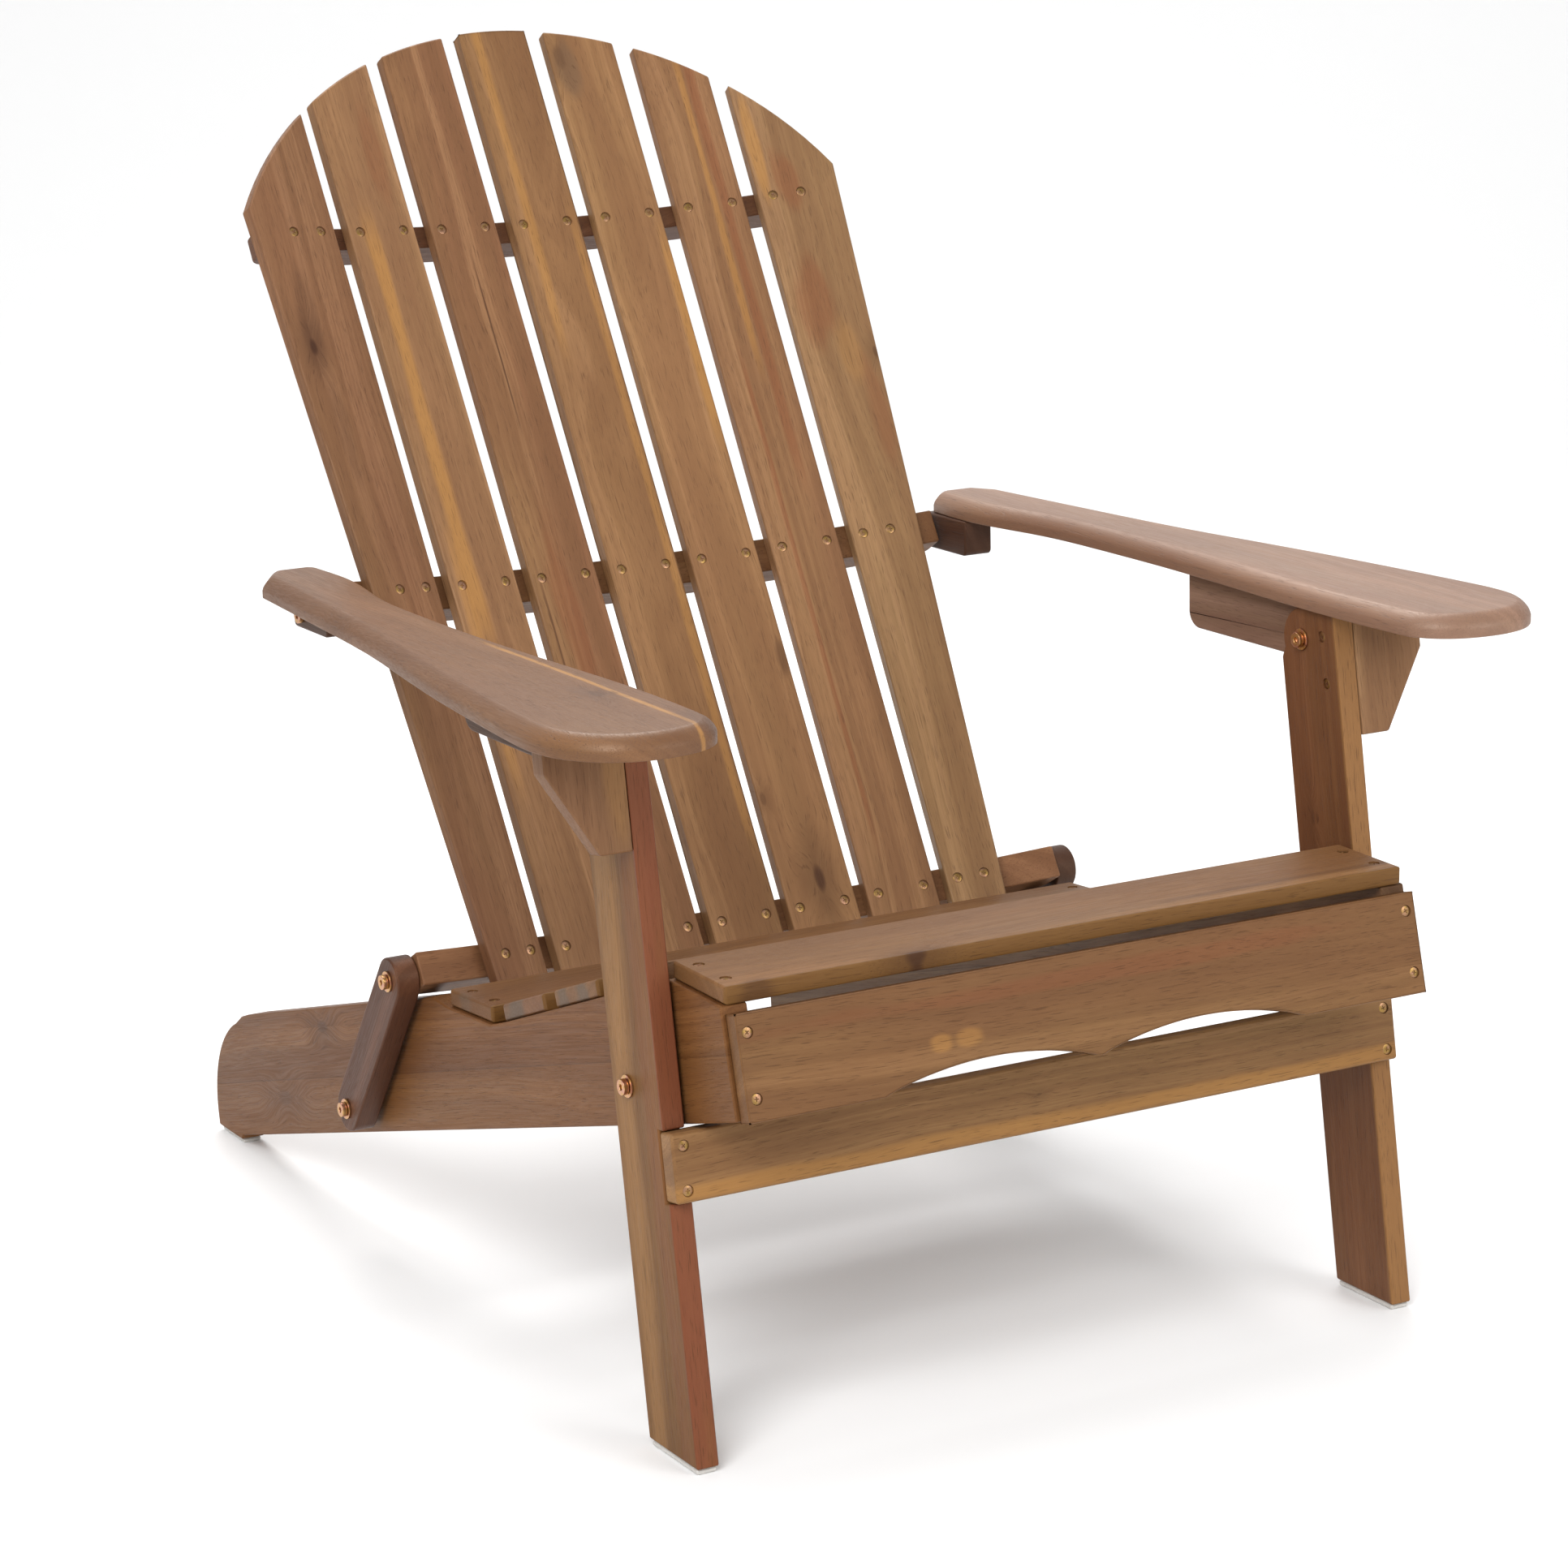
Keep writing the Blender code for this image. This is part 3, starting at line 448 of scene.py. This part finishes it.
# How far in metres the grain strays, and how deep each surface's relief is
SWAY_REACH, RIPPLE_REACH = (0.0, 0.034, 0.034), (0.0, 0.0032, 0.0032)
WOOD_RELIEF, METAL_RELIEF, PLASTIC_RELIEF = 0.00012, 0.00003, 0.00006
WOOD_IOR = 1.50
WOOD_MIRROR_TINT = (1.0, 0.86, 0.72, 1.0)
PLASTIC_GLOW, PLASTIC_GLOW_REACH = 0.35, (0.004, 0.004, 0.004)

# A knot: how far it is drawn out, and shares of its radius
KNOT_STRETCH = 0.45
KNOT_BEND_REACH, KNOT_BEND = 3.4, 1.7      # the grain bends round it
KNOT_RAGGED = 1.2
STREAK_FADE = 0.03                         # half the length over which a streak's end fades
GLUE_BLUR = 0.0004


def wood(
    name, seed, base, ring=0.013, contrast=1.0, warm=0.5, knots=(), streaks=(), patches=(), glue=None,
    gloss=0.2,
):
    """Oiled acacia. base is its middle colour and ring the usual width of a growth band.
    warm: share of rosy zones. knots: (u, v, radius, darkness).
    streaks: (v, half width, colour, share, start, end).
    patches: (u, v, half length, half width, colour, share). glue: (v, colour factor below).
    gloss: share of mirror reflection."""
    g = Graph(name)
    place = g.add("ShaderNodeAttribute", attribute_name="grain", out="Vector")
    shift = g.vector("ADD", place, (seed * 3.17, seed * 1.31, seed * 0.77))
    sway = g.noise(g.vector("MULTIPLY", shift, SWAY), 2.0, 0.5, "Color")
    sway = g.vector("SUBTRACT", sway, (0.5, 0.5, 0.5))
    ripple = g.noise(g.vector("MULTIPLY", shift, RIPPLE), 2.0, 0.5, "Color")
    ripple = g.vector("SUBTRACT", ripple, (0.5, 0.5, 0.5))
    bent = g.vector("ADD", place, g.vector("MULTIPLY", sway, SWAY_REACH))
    bent = g.vector("ADD", bent, g.vector("MULTIPLY", ripple, RIPPLE_REACH))
    own_u, own_v, _ = g.split(place)
    u, v, w = g.split(bent)
    wave, wave_v, _ = g.split(ripple)

    dark_knot = None
    for ku, kv, radius, deep in knots:
        across = g.math("SUBTRACT", own_v, kv)
        along = g.math("MULTIPLY", g.math("SUBTRACT", own_u, ku), KNOT_STRETCH)
        far = g.length(across, along)
        near = g.ramp(far, 0.0, radius * KNOT_BEND_REACH, 1.0, 0.0)
        bulge = g.math("MULTIPLY", near, radius * KNOT_BEND)
        v = g.math("ADD", v, g.math("MULTIPLY", g.math("SIGN", across), bulge))
        ragged = g.math("ADD", far, g.math("MULTIPLY", wave, radius * KNOT_RAGGED))
        core = g.ramp(ragged, radius * 0.25, radius * 1.05, deep, 0.0)
        halo = g.ramp(ragged, radius * 0.6, radius * 3.2, deep * 0.42, 0.0)
        spot = g.math("MAXIMUM", core, halo)
        dark_knot = spot if dark_knot is None else g.math("MAXIMUM", dark_knot, spot)

    # Growth bands follow surfaces round a pith beside the board.
    pith_v = 0.055 * math.sin(seed * 2.3)
    pith_w = -0.045 - 0.02 * math.cos(seed * 1.7)
    away_v = g.math("SUBTRACT", v, pith_v)
    away_w = g.math("SUBTRACT", w, pith_w)
    reach = g.length(away_v, away_w)
    stretch = g.math("MULTIPLY", u, BAND_STRETCH)
    bands = g.noise(g.join(g.math("DIVIDE", reach, ring), stretch, seed * 5.3), 3.0, 0.58)
    bands = g.ramp(bands, 0.30, 0.70)
    fine = g.join(g.math("DIVIDE", reach, ring * FINE_RING), stretch, seed * 9.1)
    fine = g.noise(fine, 3.0, 0.6)
    wide = g.noise(g.vector("MULTIPLY", shift, ZONES), 2.0, 0.55)
    wide = g.ramp(wide, 0.32, 0.68)
    cloud = g.noise(g.vector("MULTIPLY", shift, CLOUDS), 3.0, 0.6)

    fibre = g.noise(g.vector("MULTIPLY", g.join(u, v, w), FIBRES), 3.0, 0.6)
    pore = g.noise(g.vector("MULTIPLY", g.join(u, v, w), PORES), 1.0, 0.5)
    pore = g.ramp(pore, 0.60, 0.72)

    colour = g.mix(g.math("MULTIPLY", wide, warm), tint(base, GOLD_ZONE), tint(base, ROSY_ZONE))
    dark_share = g.math("MULTIPLY", g.math("SUBTRACT", 1.0, bands), 0.62 * contrast)
    colour = g.mix(dark_share, colour, tint(base, DARK_BAND))
    layers = (
        (bands, 0.52, 1.0, 0.55 * contrast, LIGHT_BAND),
        (cloud, 0.45, 0.72, 0.45, DARK_CLOUD),
        (cloud, 0.50, 0.28, 0.35, LIGHT_CLOUD),
        (fine, 0.42, 0.68, 0.38 * contrast, FINE_LINE),
        (fibre, 0.38, 0.70, 0.30, DARK_FIBRE),
    )
    for pattern, first, full, share, factors in layers:
        colour = g.mix(g.ramp(pattern, first, full, 0.0, share), colour, tint(base, factors))

    for sv, half, shade, share, start, end in streaks:
        wavy = g.math("ADD", own_v, g.math("MULTIPLY", wave_v, half))
        off = g.math("ABSOLUTE", g.math("SUBTRACT", wavy, sv))
        inside = g.ramp(off, half * 0.30, half, share, 0.0)
        begun = g.ramp(u, start - STREAK_FADE, start + STREAK_FADE)
        inside = g.math("MULTIPLY", inside, begun)
        ended = g.ramp(u, end - STREAK_FADE, end + STREAK_FADE, 1.0, 0.0)
        inside = g.math("MULTIPLY", inside, ended)
        grained = g.mix(g.math("MULTIPLY", fibre, 0.5), shade, tint(shade, GRAINED))
        colour = g.mix(inside, colour, grained)
    for pu, pv, long, half, shade, share in patches:
        along = g.math("DIVIDE", g.math("SUBTRACT", own_u, pu), long)
        across = g.math("DIVIDE", g.math("SUBTRACT", own_v, pv), half)
        far = g.math("ADD", g.length(across, along), g.math("MULTIPLY", wave_v, 1.3))
        inside = g.ramp(far, 0.45, 1.05, share, 0.0)
        grained = g.mix(g.math("MULTIPLY", fibre, 0.5), shade, tint(shade, GRAINED))
        colour = g.mix(inside, colour, grained)
    if glue is not None:
        line, factor = glue
        below = g.ramp(own_v, line + GLUE_BLUR, line - GLUE_BLUR)
        seam = g.ramp(g.math("ABSOLUTE", g.math("SUBTRACT", own_v, line)), 0.0002, 0.0009, 0.5, 0.0)
        colour = g.mix(below, colour, (factor, factor * 0.96, factor * 0.94, 1.0), "MULTIPLY")
        colour = g.mix(seam, colour, tint(base, GLUE_SEAM))
    if dark_knot is not None:
        colour = g.mix(dark_knot, colour, tint(base, KNOT))
    colour = g.mix(g.math("MULTIPLY", pore, 0.5), colour, tint(base, PORE))

    g.feed(g.shader.inputs["Base Color"], colour)
    rough = g.ramp(fibre, 0.3, 0.7, 0.40, 0.54)
    rough = g.math("ADD", rough, g.math("MULTIPLY", g.math("SUBTRACT", wide, 0.5), 0.06))
    g.feed(g.shader.inputs["Roughness"], rough)
    g.shader.inputs["IOR"].default_value = WOOD_IOR
    g.shader.inputs["Specular IOR Level"].default_value = gloss
    g.shader.inputs["Specular Tint"].default_value = WOOD_MIRROR_TINT
    height = g.math("SUBTRACT", g.math("MULTIPLY", fibre, 0.5), g.math("MULTIPLY", pore, 0.9))
    height = g.math("ADD", height, g.math("MULTIPLY", fine, 0.25))
    g.bump(height, WOOD_RELIEF, 0.8)
    return g.material


def zinc(name, base, second, rough):
    """Plated steel with a tint that drifts between two colours, and fine wear."""
    g = Graph(name)
    place = g.add("ShaderNodeTexCoord", out="Object")
    drift = g.ramp(g.noise(g.vector("MULTIPLY", place, METAL_DRIFT), 2.0), 0.35, 0.65)
    speck = g.noise(g.vector("MULTIPLY", place, METAL_SPECKS), 3.0, 0.6)
    colour = g.mix(drift, base, second)
    colour = g.mix(g.ramp(speck, 0.55, 0.75, 0.0, 0.45), colour, tint(base, WEAR))
    g.feed(g.shader.inputs["Base Color"], colour)
    g.shader.inputs["Metallic"].default_value = 1.0
    g.feed(g.shader.inputs["Roughness"], g.ramp(speck, 0.3, 0.7, rough, rough + 0.14))
    g.bump(speck, METAL_RELIEF, 0.6)
    return g.material


def glide_plastic():
    """Pale nylon, a little cloudy, with scuffs."""
    g = Graph("glide_plastic")
    place = g.add("ShaderNodeTexCoord", out="Object")
    cloud = g.noise(g.vector("MULTIPLY", place, PLASTIC_CLOUDS), 3.0, 0.6)
    scuff = g.noise(g.vector("MULTIPLY", place, PLASTIC_SCUFFS), 3.0, 0.65)
    g.feed(g.shader.inputs["Base Color"], g.mix(cloud, linear(176, 172, 166), linear(206, 203, 198)))
    g.feed(g.shader.inputs["Roughness"], g.ramp(scuff, 0.3, 0.7, 0.34, 0.52))
    g.shader.inputs["Subsurface Weight"].default_value = PLASTIC_GLOW
    g.shader.inputs["Subsurface Radius"].default_value = PLASTIC_GLOW_REACH
    g.bump(scuff, PLASTIC_RELIEF, 0.5)
    return g.material


# ---------------------------------------------------------------- boards
PALE = linear(172, 124, 64)
SAND = linear(150, 110, 66)
ROSE = linear(120, 68, 42)
UMBER = linear(66, 40, 27)
OCHRE = linear(104, 72, 34)
BRICK = linear(116, 64, 44)
SLATE = linear(88, 76, 64)
PAINTED_EDGE_SHADE = (-0.0354, 0.0040, OCHRE, 0.8, -0.32, 0.32)    # painted shade: a darker ochre streak on a seat slat's front edge, for the shade that face gets

LOOKS = {
    "back_slat_1": dict(
        seed=1.0, base=linear(118, 84, 59), warm=0.8,
        knots=((0.1617, 0.0133, 0.0055, 1.0),),
        patches=((0.190, 0.010, 0.06, 0.010, UMBER, 0.35), (0.10, 0.008, 0.05, 0.008, UMBER, 0.22)),
    ),
    "back_slat_2": dict(
        seed=2.1, base=linear(134, 99, 70), warm=0.3,
        streaks=((0.010, 0.009, PALE, 0.55, -0.10, 0.24), (0.019, 0.007, PALE, 0.4, -0.22, -0.02)),
        patches=((0.30, -0.012, 0.05, 0.012, ROSE, 0.30),),
    ),
    "back_slat_3": dict(
        seed=3.4, base=linear(127, 93, 64), warm=0.9, contrast=1.1,
        streaks=((0.0005, 0.0011, UMBER, 0.75, 0.06, 0.19), (0.0215, 0.0012, UMBER, 0.6, -0.17, -0.08)),
        patches=((-0.09, 0.004, 0.10, 0.012, ROSE, 0.4),),
    ),
    "back_slat_4": dict(
        seed=4.2, base=linear(126, 92, 62), warm=0.4,
        streaks=((0.014, 0.006, PALE, 0.40, 0.12, 0.42), (-0.024, 0.005, PALE, 0.35, -0.30, 0.22)),
    ),
    "back_slat_5": dict(
        seed=5.5, base=linear(137, 102, 70), warm=0.6,
        knots=((-0.3407, -0.0035, 0.0085, 1.0), (0.3677, 0.0213, 0.007, 0.5), (-0.2715, 0.0250, 0.0035, 0.6)),
        streaks=((-0.0245, 0.006, PALE, 0.5, 0.03, 0.20),),
        patches=((0.355, 0.016, 0.03, 0.014, SLATE, 0.35), (-0.16, -0.024, 0.02, 0.006, UMBER, 0.5)),
    ),
    "back_slat_6": dict(
        seed=6.3, base=linear(132, 97, 68), warm=0.8, contrast=1.15,
        streaks=(
            (-0.004, 0.004, PALE, 0.42, 0.10, 0.37), (-0.013, 0.006, ROSE, 0.5, 0.0, 0.38),
            (0.010, 0.003, ROSE, 0.5, -0.30, 0.1),
        ),
    ),
    "back_slat_7": dict(
        seed=7.7, base=linear(134, 102, 72), warm=0.3, contrast=1.1,
        knots=((0.1122, -0.0267, 0.0035, 0.7),),
        patches=(
            (0.272, 0.006, 0.030, 0.014, ROSE, 0.45), (0.160, 0.012, 0.045, 0.018, ROSE, 0.45),
            (0.060, -0.018, 0.06, 0.012, ROSE, 0.35), (0.300, 0.028, 0.05, 0.006, PALE, 0.5),
            (0.115, -0.004, 0.035, 0.012, PALE, 0.2),
        ),
    ),
    "back_rail_bottom": dict(seed=8.1, base=linear(121, 85, 59)),
    "back_rail_middle": dict(seed=9.6, base=linear(110, 76, 50)),
    "back_rail_top": dict(seed=10.4, base=linear(96, 64, 46)),
    # Seat slats 1, 3, 4 and 5 carry painted shade on their front edges.
    "seat_slat_1": dict(
        seed=11.2, base=linear(118, 84, 53), contrast=1.1,
        knots=((-0.1251, -0.0352, 0.006, 0.95),),
        streaks=(PAINTED_EDGE_SHADE, (-0.020, 0.005, UMBER, 0.35, 0.08, 0.30)),
        patches=((-0.245, -0.036, 0.02, 0.010, UMBER, 0.5),),
    ),
    "seat_slat_2": dict(seed=12.9, base=linear(112, 80, 54)),
    "seat_slat_3": dict(
        seed=13.3, base=linear(116, 82, 54), streaks=(PAINTED_EDGE_SHADE,),
        patches=((-0.272, 0.021, 0.012, 0.011, SLATE, 0.7), (-0.272, -0.010, 0.012, 0.014, SLATE, 0.7)),
    ),
    "seat_slat_4": dict(
        seed=14.8, base=linear(116, 80, 55), streaks=(PAINTED_EDGE_SHADE,),
        patches=((-0.272, 0.018, 0.012, 0.020, SLATE, 0.75),),
    ),
    "seat_slat_5": dict(
        seed=15.1, base=linear(106, 73, 44), streaks=(PAINTED_EDGE_SHADE,),
        patches=((-0.272, 0.010, 0.010, 0.012, SLATE, 0.4),),
    ),
    "apron": dict(
        seed=16.7, base=linear(113, 80, 51), ring=0.016, warm=0.7,
        patches=(
            (-0.1214, -0.0068, 0.010, 0.007, PALE, 0.38), (-0.1000, -0.0061, 0.012, 0.007, PALE, 0.34),
            (0.0, 0.020, 0.26, 0.008, ROSE, 0.3),
        ),
    ),
    "stretcher": dict(
        seed=17.2, base=linear(128, 94, 62), warm=0.3,
        knots=((-0.010, 0.002, 0.002, 0.6),),
        streaks=((-0.017, 0.008, PALE, 0.45, -0.30, 0.30),),
    ),
    "side_rail_left": dict(seed=18.5, base=linear(96, 70, 48), ring=0.017, glue=(0.004, 0.85)),
    "side_rail_right": dict(
        seed=19.9, base=linear(113, 75, 42), ring=0.017, glue=(0.004, 0.82),
        knots=((0.2076, -0.0355, 0.007, 0.7), (0.3075, 0.0178, 0.009, 0.5)),
    ),
    "leg_left": dict(
        seed=20.3, base=linear(110, 72, 47), warm=0.7,
        knots=((0.10, 0.012, 0.004, 0.4),),
        streaks=((-0.0345, 0.0050, SAND, 0.6, -0.34, 0.34),),
    ),
    "leg_right": dict(
        seed=21.6, base=linear(113, 79, 43), warm=0.4,
        streaks=(
            (-0.018, 0.018, SAND, 0.45, -0.30, 0.30), (0.020, 0.014, ROSE, 0.3, -0.30, 0.30),
            (0.0345, 0.0050, BRICK, 0.85, -0.34, 0.34),
        ),
    ),
    "corbel_left": dict(seed=22.4, base=linear(131, 98, 70), ring=0.02),
    "corbel_right": dict(
        seed=23.1, base=linear(124, 91, 65), ring=0.02,
        patches=((0.0, 0.02, 0.05, 0.012, SAND, 0.45),),
    ),
    # arm_left's paler, pinker base is partly the wood's own tone and partly painted sheen: it carries the
    # pink reflection seen along that arm's top.
    "arm_left": dict(seed=24.8, base=linear(126, 94, 76), ring=0.018, contrast=0.8, gloss=0.9),
    "arm_right": dict(
        seed=25.5, base=linear(106, 72, 46), ring=0.018, contrast=0.8, gloss=0.5,
        knots=((-0.2037, -0.0187, 0.006, 0.6), (0.14, 0.016, 0.006, 0.35)),
        streaks=((-0.031, 0.0028, PALE, 0.7, -0.34, -0.02),),
        patches=((-0.30, -0.05, 0.03, 0.025, UMBER, 0.35),),
    ),
    "front_cleat_left": dict(seed=26.2, base=linear(125, 97, 82)),
    "front_cleat_right": dict(seed=27.7, base=linear(78, 56, 44)),
    "rear_block_left": dict(seed=28.3, base=linear(70, 46, 34)),
    "rear_block_right": dict(seed=29.9, base=linear(74, 50, 38)),
    "link_left": dict(seed=30.4, base=linear(74, 50, 38)),
    "link_right": dict(
        seed=31.8, base=linear(86, 54, 38), contrast=1.2,
        patches=((0.082, 0.014, 0.02, 0.012, UMBER, 0.6),),
    ),
}


def arm_cage(node):
    """The arm's underside outline raised to full thickness, so that its rim can be rounded anew."""
    flat = cad_cage(node)
    under = min(flat.faces, key=lambda f: (round(f.normal.z, 3), -f.calc_area()))
    ring = [v.co.copy() for v in reversed(under.verts)]
    flat.free()
    cage = bmesh.new()
    low = [cage.verts.new(p) for p in ring]
    high = [cage.verts.new((p.x, p.y, ARM_TOP)) for p in ring]
    cage.faces.new(list(reversed(low)))
    cage.faces.new(high)
    for i in range(len(ring)):
        j = (i + 1) % len(ring)
        cage.faces.new((low[i], low[j], high[j], high[i]))
    bmesh.ops.recalc_face_normals(cage, faces=cage.faces)
    cage.normal_update()
    return cage


def arm_frame(node):
    """Matrix of an arm, with its grain from front to rear."""
    low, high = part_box(node)
    matrix = Matrix(((0, -1, 0), (1, 0, 0), (0, 0, 1))).to_4x4()
    matrix.translation = ((low.x + high.x) / 2, (low.y + high.y) / 2, ARM_TOP)
    return matrix


def arm(node, material):
    """An armrest, with a broad rounding on its top rim and a narrow one on its other edges."""
    piece = new_piece(node + "_wood", mesh_of(arm_cage(node), node))
    mesh = piece.data
    weights = mesh.attributes.new("bevel_weight_edge", "FLOAT", "EDGE")
    for edge in mesh.edges:
        ends = [mesh.vertices[i].co.z for i in edge.vertices]
        level = min(ends) > ARM_TOP - SAME_LEVEL
        weights.data[edge.index].value = 1.0 if level else 0.0
    bevel(piece, ARM_BEVEL, 6, ARM_BEVEL_SHAPE)
    settle(piece)
    bevel(piece, ARM_EDGE, 2, limit="ANGLE").angle_limit = ARM_SHARP_ANGLE
    settle(piece)
    soften(piece)
    store_grain(piece, arm_frame(node))
    dress(piece, node, material)


def board(node, material, places, template, metal, width=EDGE):
    """A board and its screws. places makes the screws' matrices from the board's frame."""
    cage = cad_cage(node)
    matrix, outline = board_frame(cage)
    piece = new_piece(node + "_wood", mesh_of(cage, node))
    set_weights(piece.data)
    bevel(piece, width, 3)
    settle(piece)
    spots = places(matrix, outline) if places else []
    if spots:
        counterbore(piece, spots)
        screws(node, spots, template, metal)
    soften(piece)
    store_grain(piece, matrix)
    dress(piece, node, material)


def fitting(node, material, width):
    """A bolt, washer, nut or glide with its edges rounded."""
    piece = new_piece(node + "_fitting", mesh_of(cad_cage(node), node))
    bevel(piece, width, 2, limit="ANGLE").angle_limit = FITTING_SHARP_ANGLE
    settle(piece)
    soften(piece)
    dress(piece, node, material)


template = screw_head()
# yellow's dark olive base is partly the plating's tone and partly painted shade: the screw heads sit shaded
# in their counterbores, and their colour is darkened for that.
yellow = zinc("yellow_zinc", linear(146, 116, 66), linear(156, 118, 94), 0.28)
bright = zinc("bright_yellow_zinc", linear(190, 150, 92), linear(190, 140, 116), 0.27)
steel = zinc("zinc_steel", linear(196, 194, 188), linear(182, 184, 186), 0.30)
plastic = glide_plastic()
looks = {name: wood("wood_" + name, **look) for name, look in LOOKS.items()}

for number in range(1, 8):
    node = f"back_slat_{number}"
    board(
        node, looks[node], lambda m, o: slat_screws(m, o, number), template, yellow, BACK_SLAT_EDGE,
    )
for name in ("bottom", "middle", "top"):
    node = f"back_rail_{name}"
    board(node, looks[node], None, template, yellow)
seat_spots = [(s * SEAT_SCREW_X, v) for s in (1, -1) for v in (-SEAT_SCREW_OFF, SEAT_SCREW_OFF)]
for number in range(1, 6):
    node = f"seat_slat_{number}"
    board(node, looks[node], lambda m, o: level_screws(m, seat_spots), template, yellow, SLAT_EDGE)

for node, screw_x, heights in (
    ("apron", APRON_SCREW_X, APRON_SCREW_Z), ("stretcher", STRETCHER_SCREW_X, STRETCHER_SCREW_Z),
):
    spots = [(s * screw_x, z) for s in (1, -1) for z in heights]
    board(node, looks[node], lambda m, o: upright_screws(m, spots), template, yellow, SLAT_EDGE)

for word, side in SIDES:
    inside = [(side * LEG_INSIDE, y, z) for y, z in LEG_SCREWS]
    leg_screws = [place_on(p, (-side, 0, 0), 0.5 + i) for i, p in enumerate(inside)]
    node = f"leg_{word}"
    board(node, looks[node], lambda m, o: leg_screws, template, yellow)
    for family in ("side_rail", "corbel", "front_cleat", "rear_block", "link"):
        node = f"{family}_{word}"
        board(node, looks[node], None, template, yellow)
    arm(f"arm_{word}", looks[f"arm_{word}"])
    for family in ("leg_bolt", "arm_bolt", "back_bolt", "link_top_bolt", "link_foot_bolt"):
        fitting(f"{family}_{word}", bright, BOLT_EDGE)
    for family in ("leg_washer", "arm_washer", "link_top_washer", "link_foot_washer"):
        fitting(f"{family}_{word}", bright, WASHER_EDGE)
    for family in ("leg_spacer", "leg_nut", "link_foot_nut"):
        fitting(f"{family}_{word}", steel, NUT_EDGE)
    for family in ("front_glide", "rear_glide"):
        fitting(f"{family}_{word}", plastic, GLIDE_EDGE)
bpy.data.objects.remove(template)


# ---------------------------------------------------------------- floor, light, camera
FLOOR_GREY = (0.86, 0.86, 0.86, 1.0)
FLOOR_FRONT, FLOOR_BACK, FLOOR_HALF_WIDTH = -6.0, 3.5, 8.0
BEND_RADIUS, BEND_STEPS, WALL_TOP = 1.5, 12, 7.0
WORLD_STRENGTH = 0.75
LIT_POINT = (0.0, 0.0, 0.4)
LAMPS = (                                  # name, place, size, power
    ("key", (-2.6, -2.4, 3.0), 2.4, 130),
    ("front", (1.6, -3.4, 1.8), 2.2, 45),
    ("top", (0.6, 1.6, 3.4), 2.4, 95),
)
VIEW_HEADING, VIEW_DIP, VIEW_ROLL = 0.5119, -0.2320, -0.0228
VIEW_PLACE = (-1.5313, -2.7653, 1.1033)
FOCAL_LENGTH, SENSOR_WIDTH = 99.825, 36.0
SHIFT_X, SHIFT_Y = -0.00534, -0.00896


def floor_material():
    g = Graph("studio_floor")
    g.shader.inputs["Base Color"].default_value = FLOOR_GREY
    g.shader.inputs["Roughness"].default_value = 0.9
    return g.material


def sweep():
    """Floor that curves up into a backdrop."""
    profile = [(FLOOR_FRONT, 0.0), (FLOOR_BACK, 0.0)]
    for i in range(1, BEND_STEPS + 1):
        angle = math.radians(90 * i / BEND_STEPS)
        forth = FLOOR_BACK + BEND_RADIUS * math.sin(angle)
        profile.append((forth, BEND_RADIUS - BEND_RADIUS * math.cos(angle)))
    profile.append((FLOOR_BACK + BEND_RADIUS, WALL_TOP))
    turn = Matrix.Rotation(-VIEW_HEADING, 3, "Z")
    cage = bmesh.new()
    rows = []
    for x in (-FLOOR_HALF_WIDTH, FLOOR_HALF_WIDTH):
        rows.append([cage.verts.new(turn @ Vector((x, y, z))) for y, z in profile])
    for a, b, c, d in zip(rows[0], rows[0][1:], rows[1][1:], rows[1]):
        cage.faces.new((a, d, c, b)).smooth = True
    piece = new_piece("floor", mesh_of(cage, "floor"))
    piece.data.materials.append(floor_material())


def lamp(name, place, size, power):
    """A round area light aimed at the chair."""
    light = bpy.data.lights.new(name, "AREA")
    light.shape = "DISK"
    light.size = size
    light.energy = power
    made = bpy.data.objects.new(name, light)
    bpy.context.scene.collection.objects.link(made)
    made.location = place
    aim = Vector(LIT_POINT) - Vector(place)
    made.rotation_euler = aim.to_track_quat("-Z", "Y").to_euler()


sweep()
for name, place, size, power in LAMPS:
    lamp(name, place, size, power)
world = bpy.data.worlds.new("studio")
world.use_nodes = True
sky = world.node_tree.nodes["Background"]
sky.inputs["Color"].default_value = (1.0, 1.0, 1.0, 1.0)
sky.inputs["Strength"].default_value = WORLD_STRENGTH
bpy.context.scene.world = world
bpy.context.scene.view_settings.view_transform = "Standard"

lens = bpy.data.cameras.new("camera")
lens.sensor_width = SENSOR_WIDTH
lens.lens = FOCAL_LENGTH
lens.shift_x = SHIFT_X
lens.shift_y = SHIFT_Y
camera = bpy.data.objects.new("camera", lens)
bpy.context.scene.collection.objects.link(camera)
level, rise = math.cos(VIEW_DIP), math.sin(VIEW_DIP)
forward = Vector((math.sin(VIEW_HEADING) * level, math.cos(VIEW_HEADING) * level, rise))
right = Vector((math.cos(VIEW_HEADING), -math.sin(VIEW_HEADING), 0.0))
upward = right.cross(forward)
turned_right = right * math.cos(VIEW_ROLL) + upward * math.sin(VIEW_ROLL)
turned_up = upward * math.cos(VIEW_ROLL) - right * math.sin(VIEW_ROLL)
camera.matrix_world = Matrix((turned_right, turned_up, -forward)).transposed().to_4x4()
camera.location = VIEW_PLACE
bpy.context.scene.camera = camera
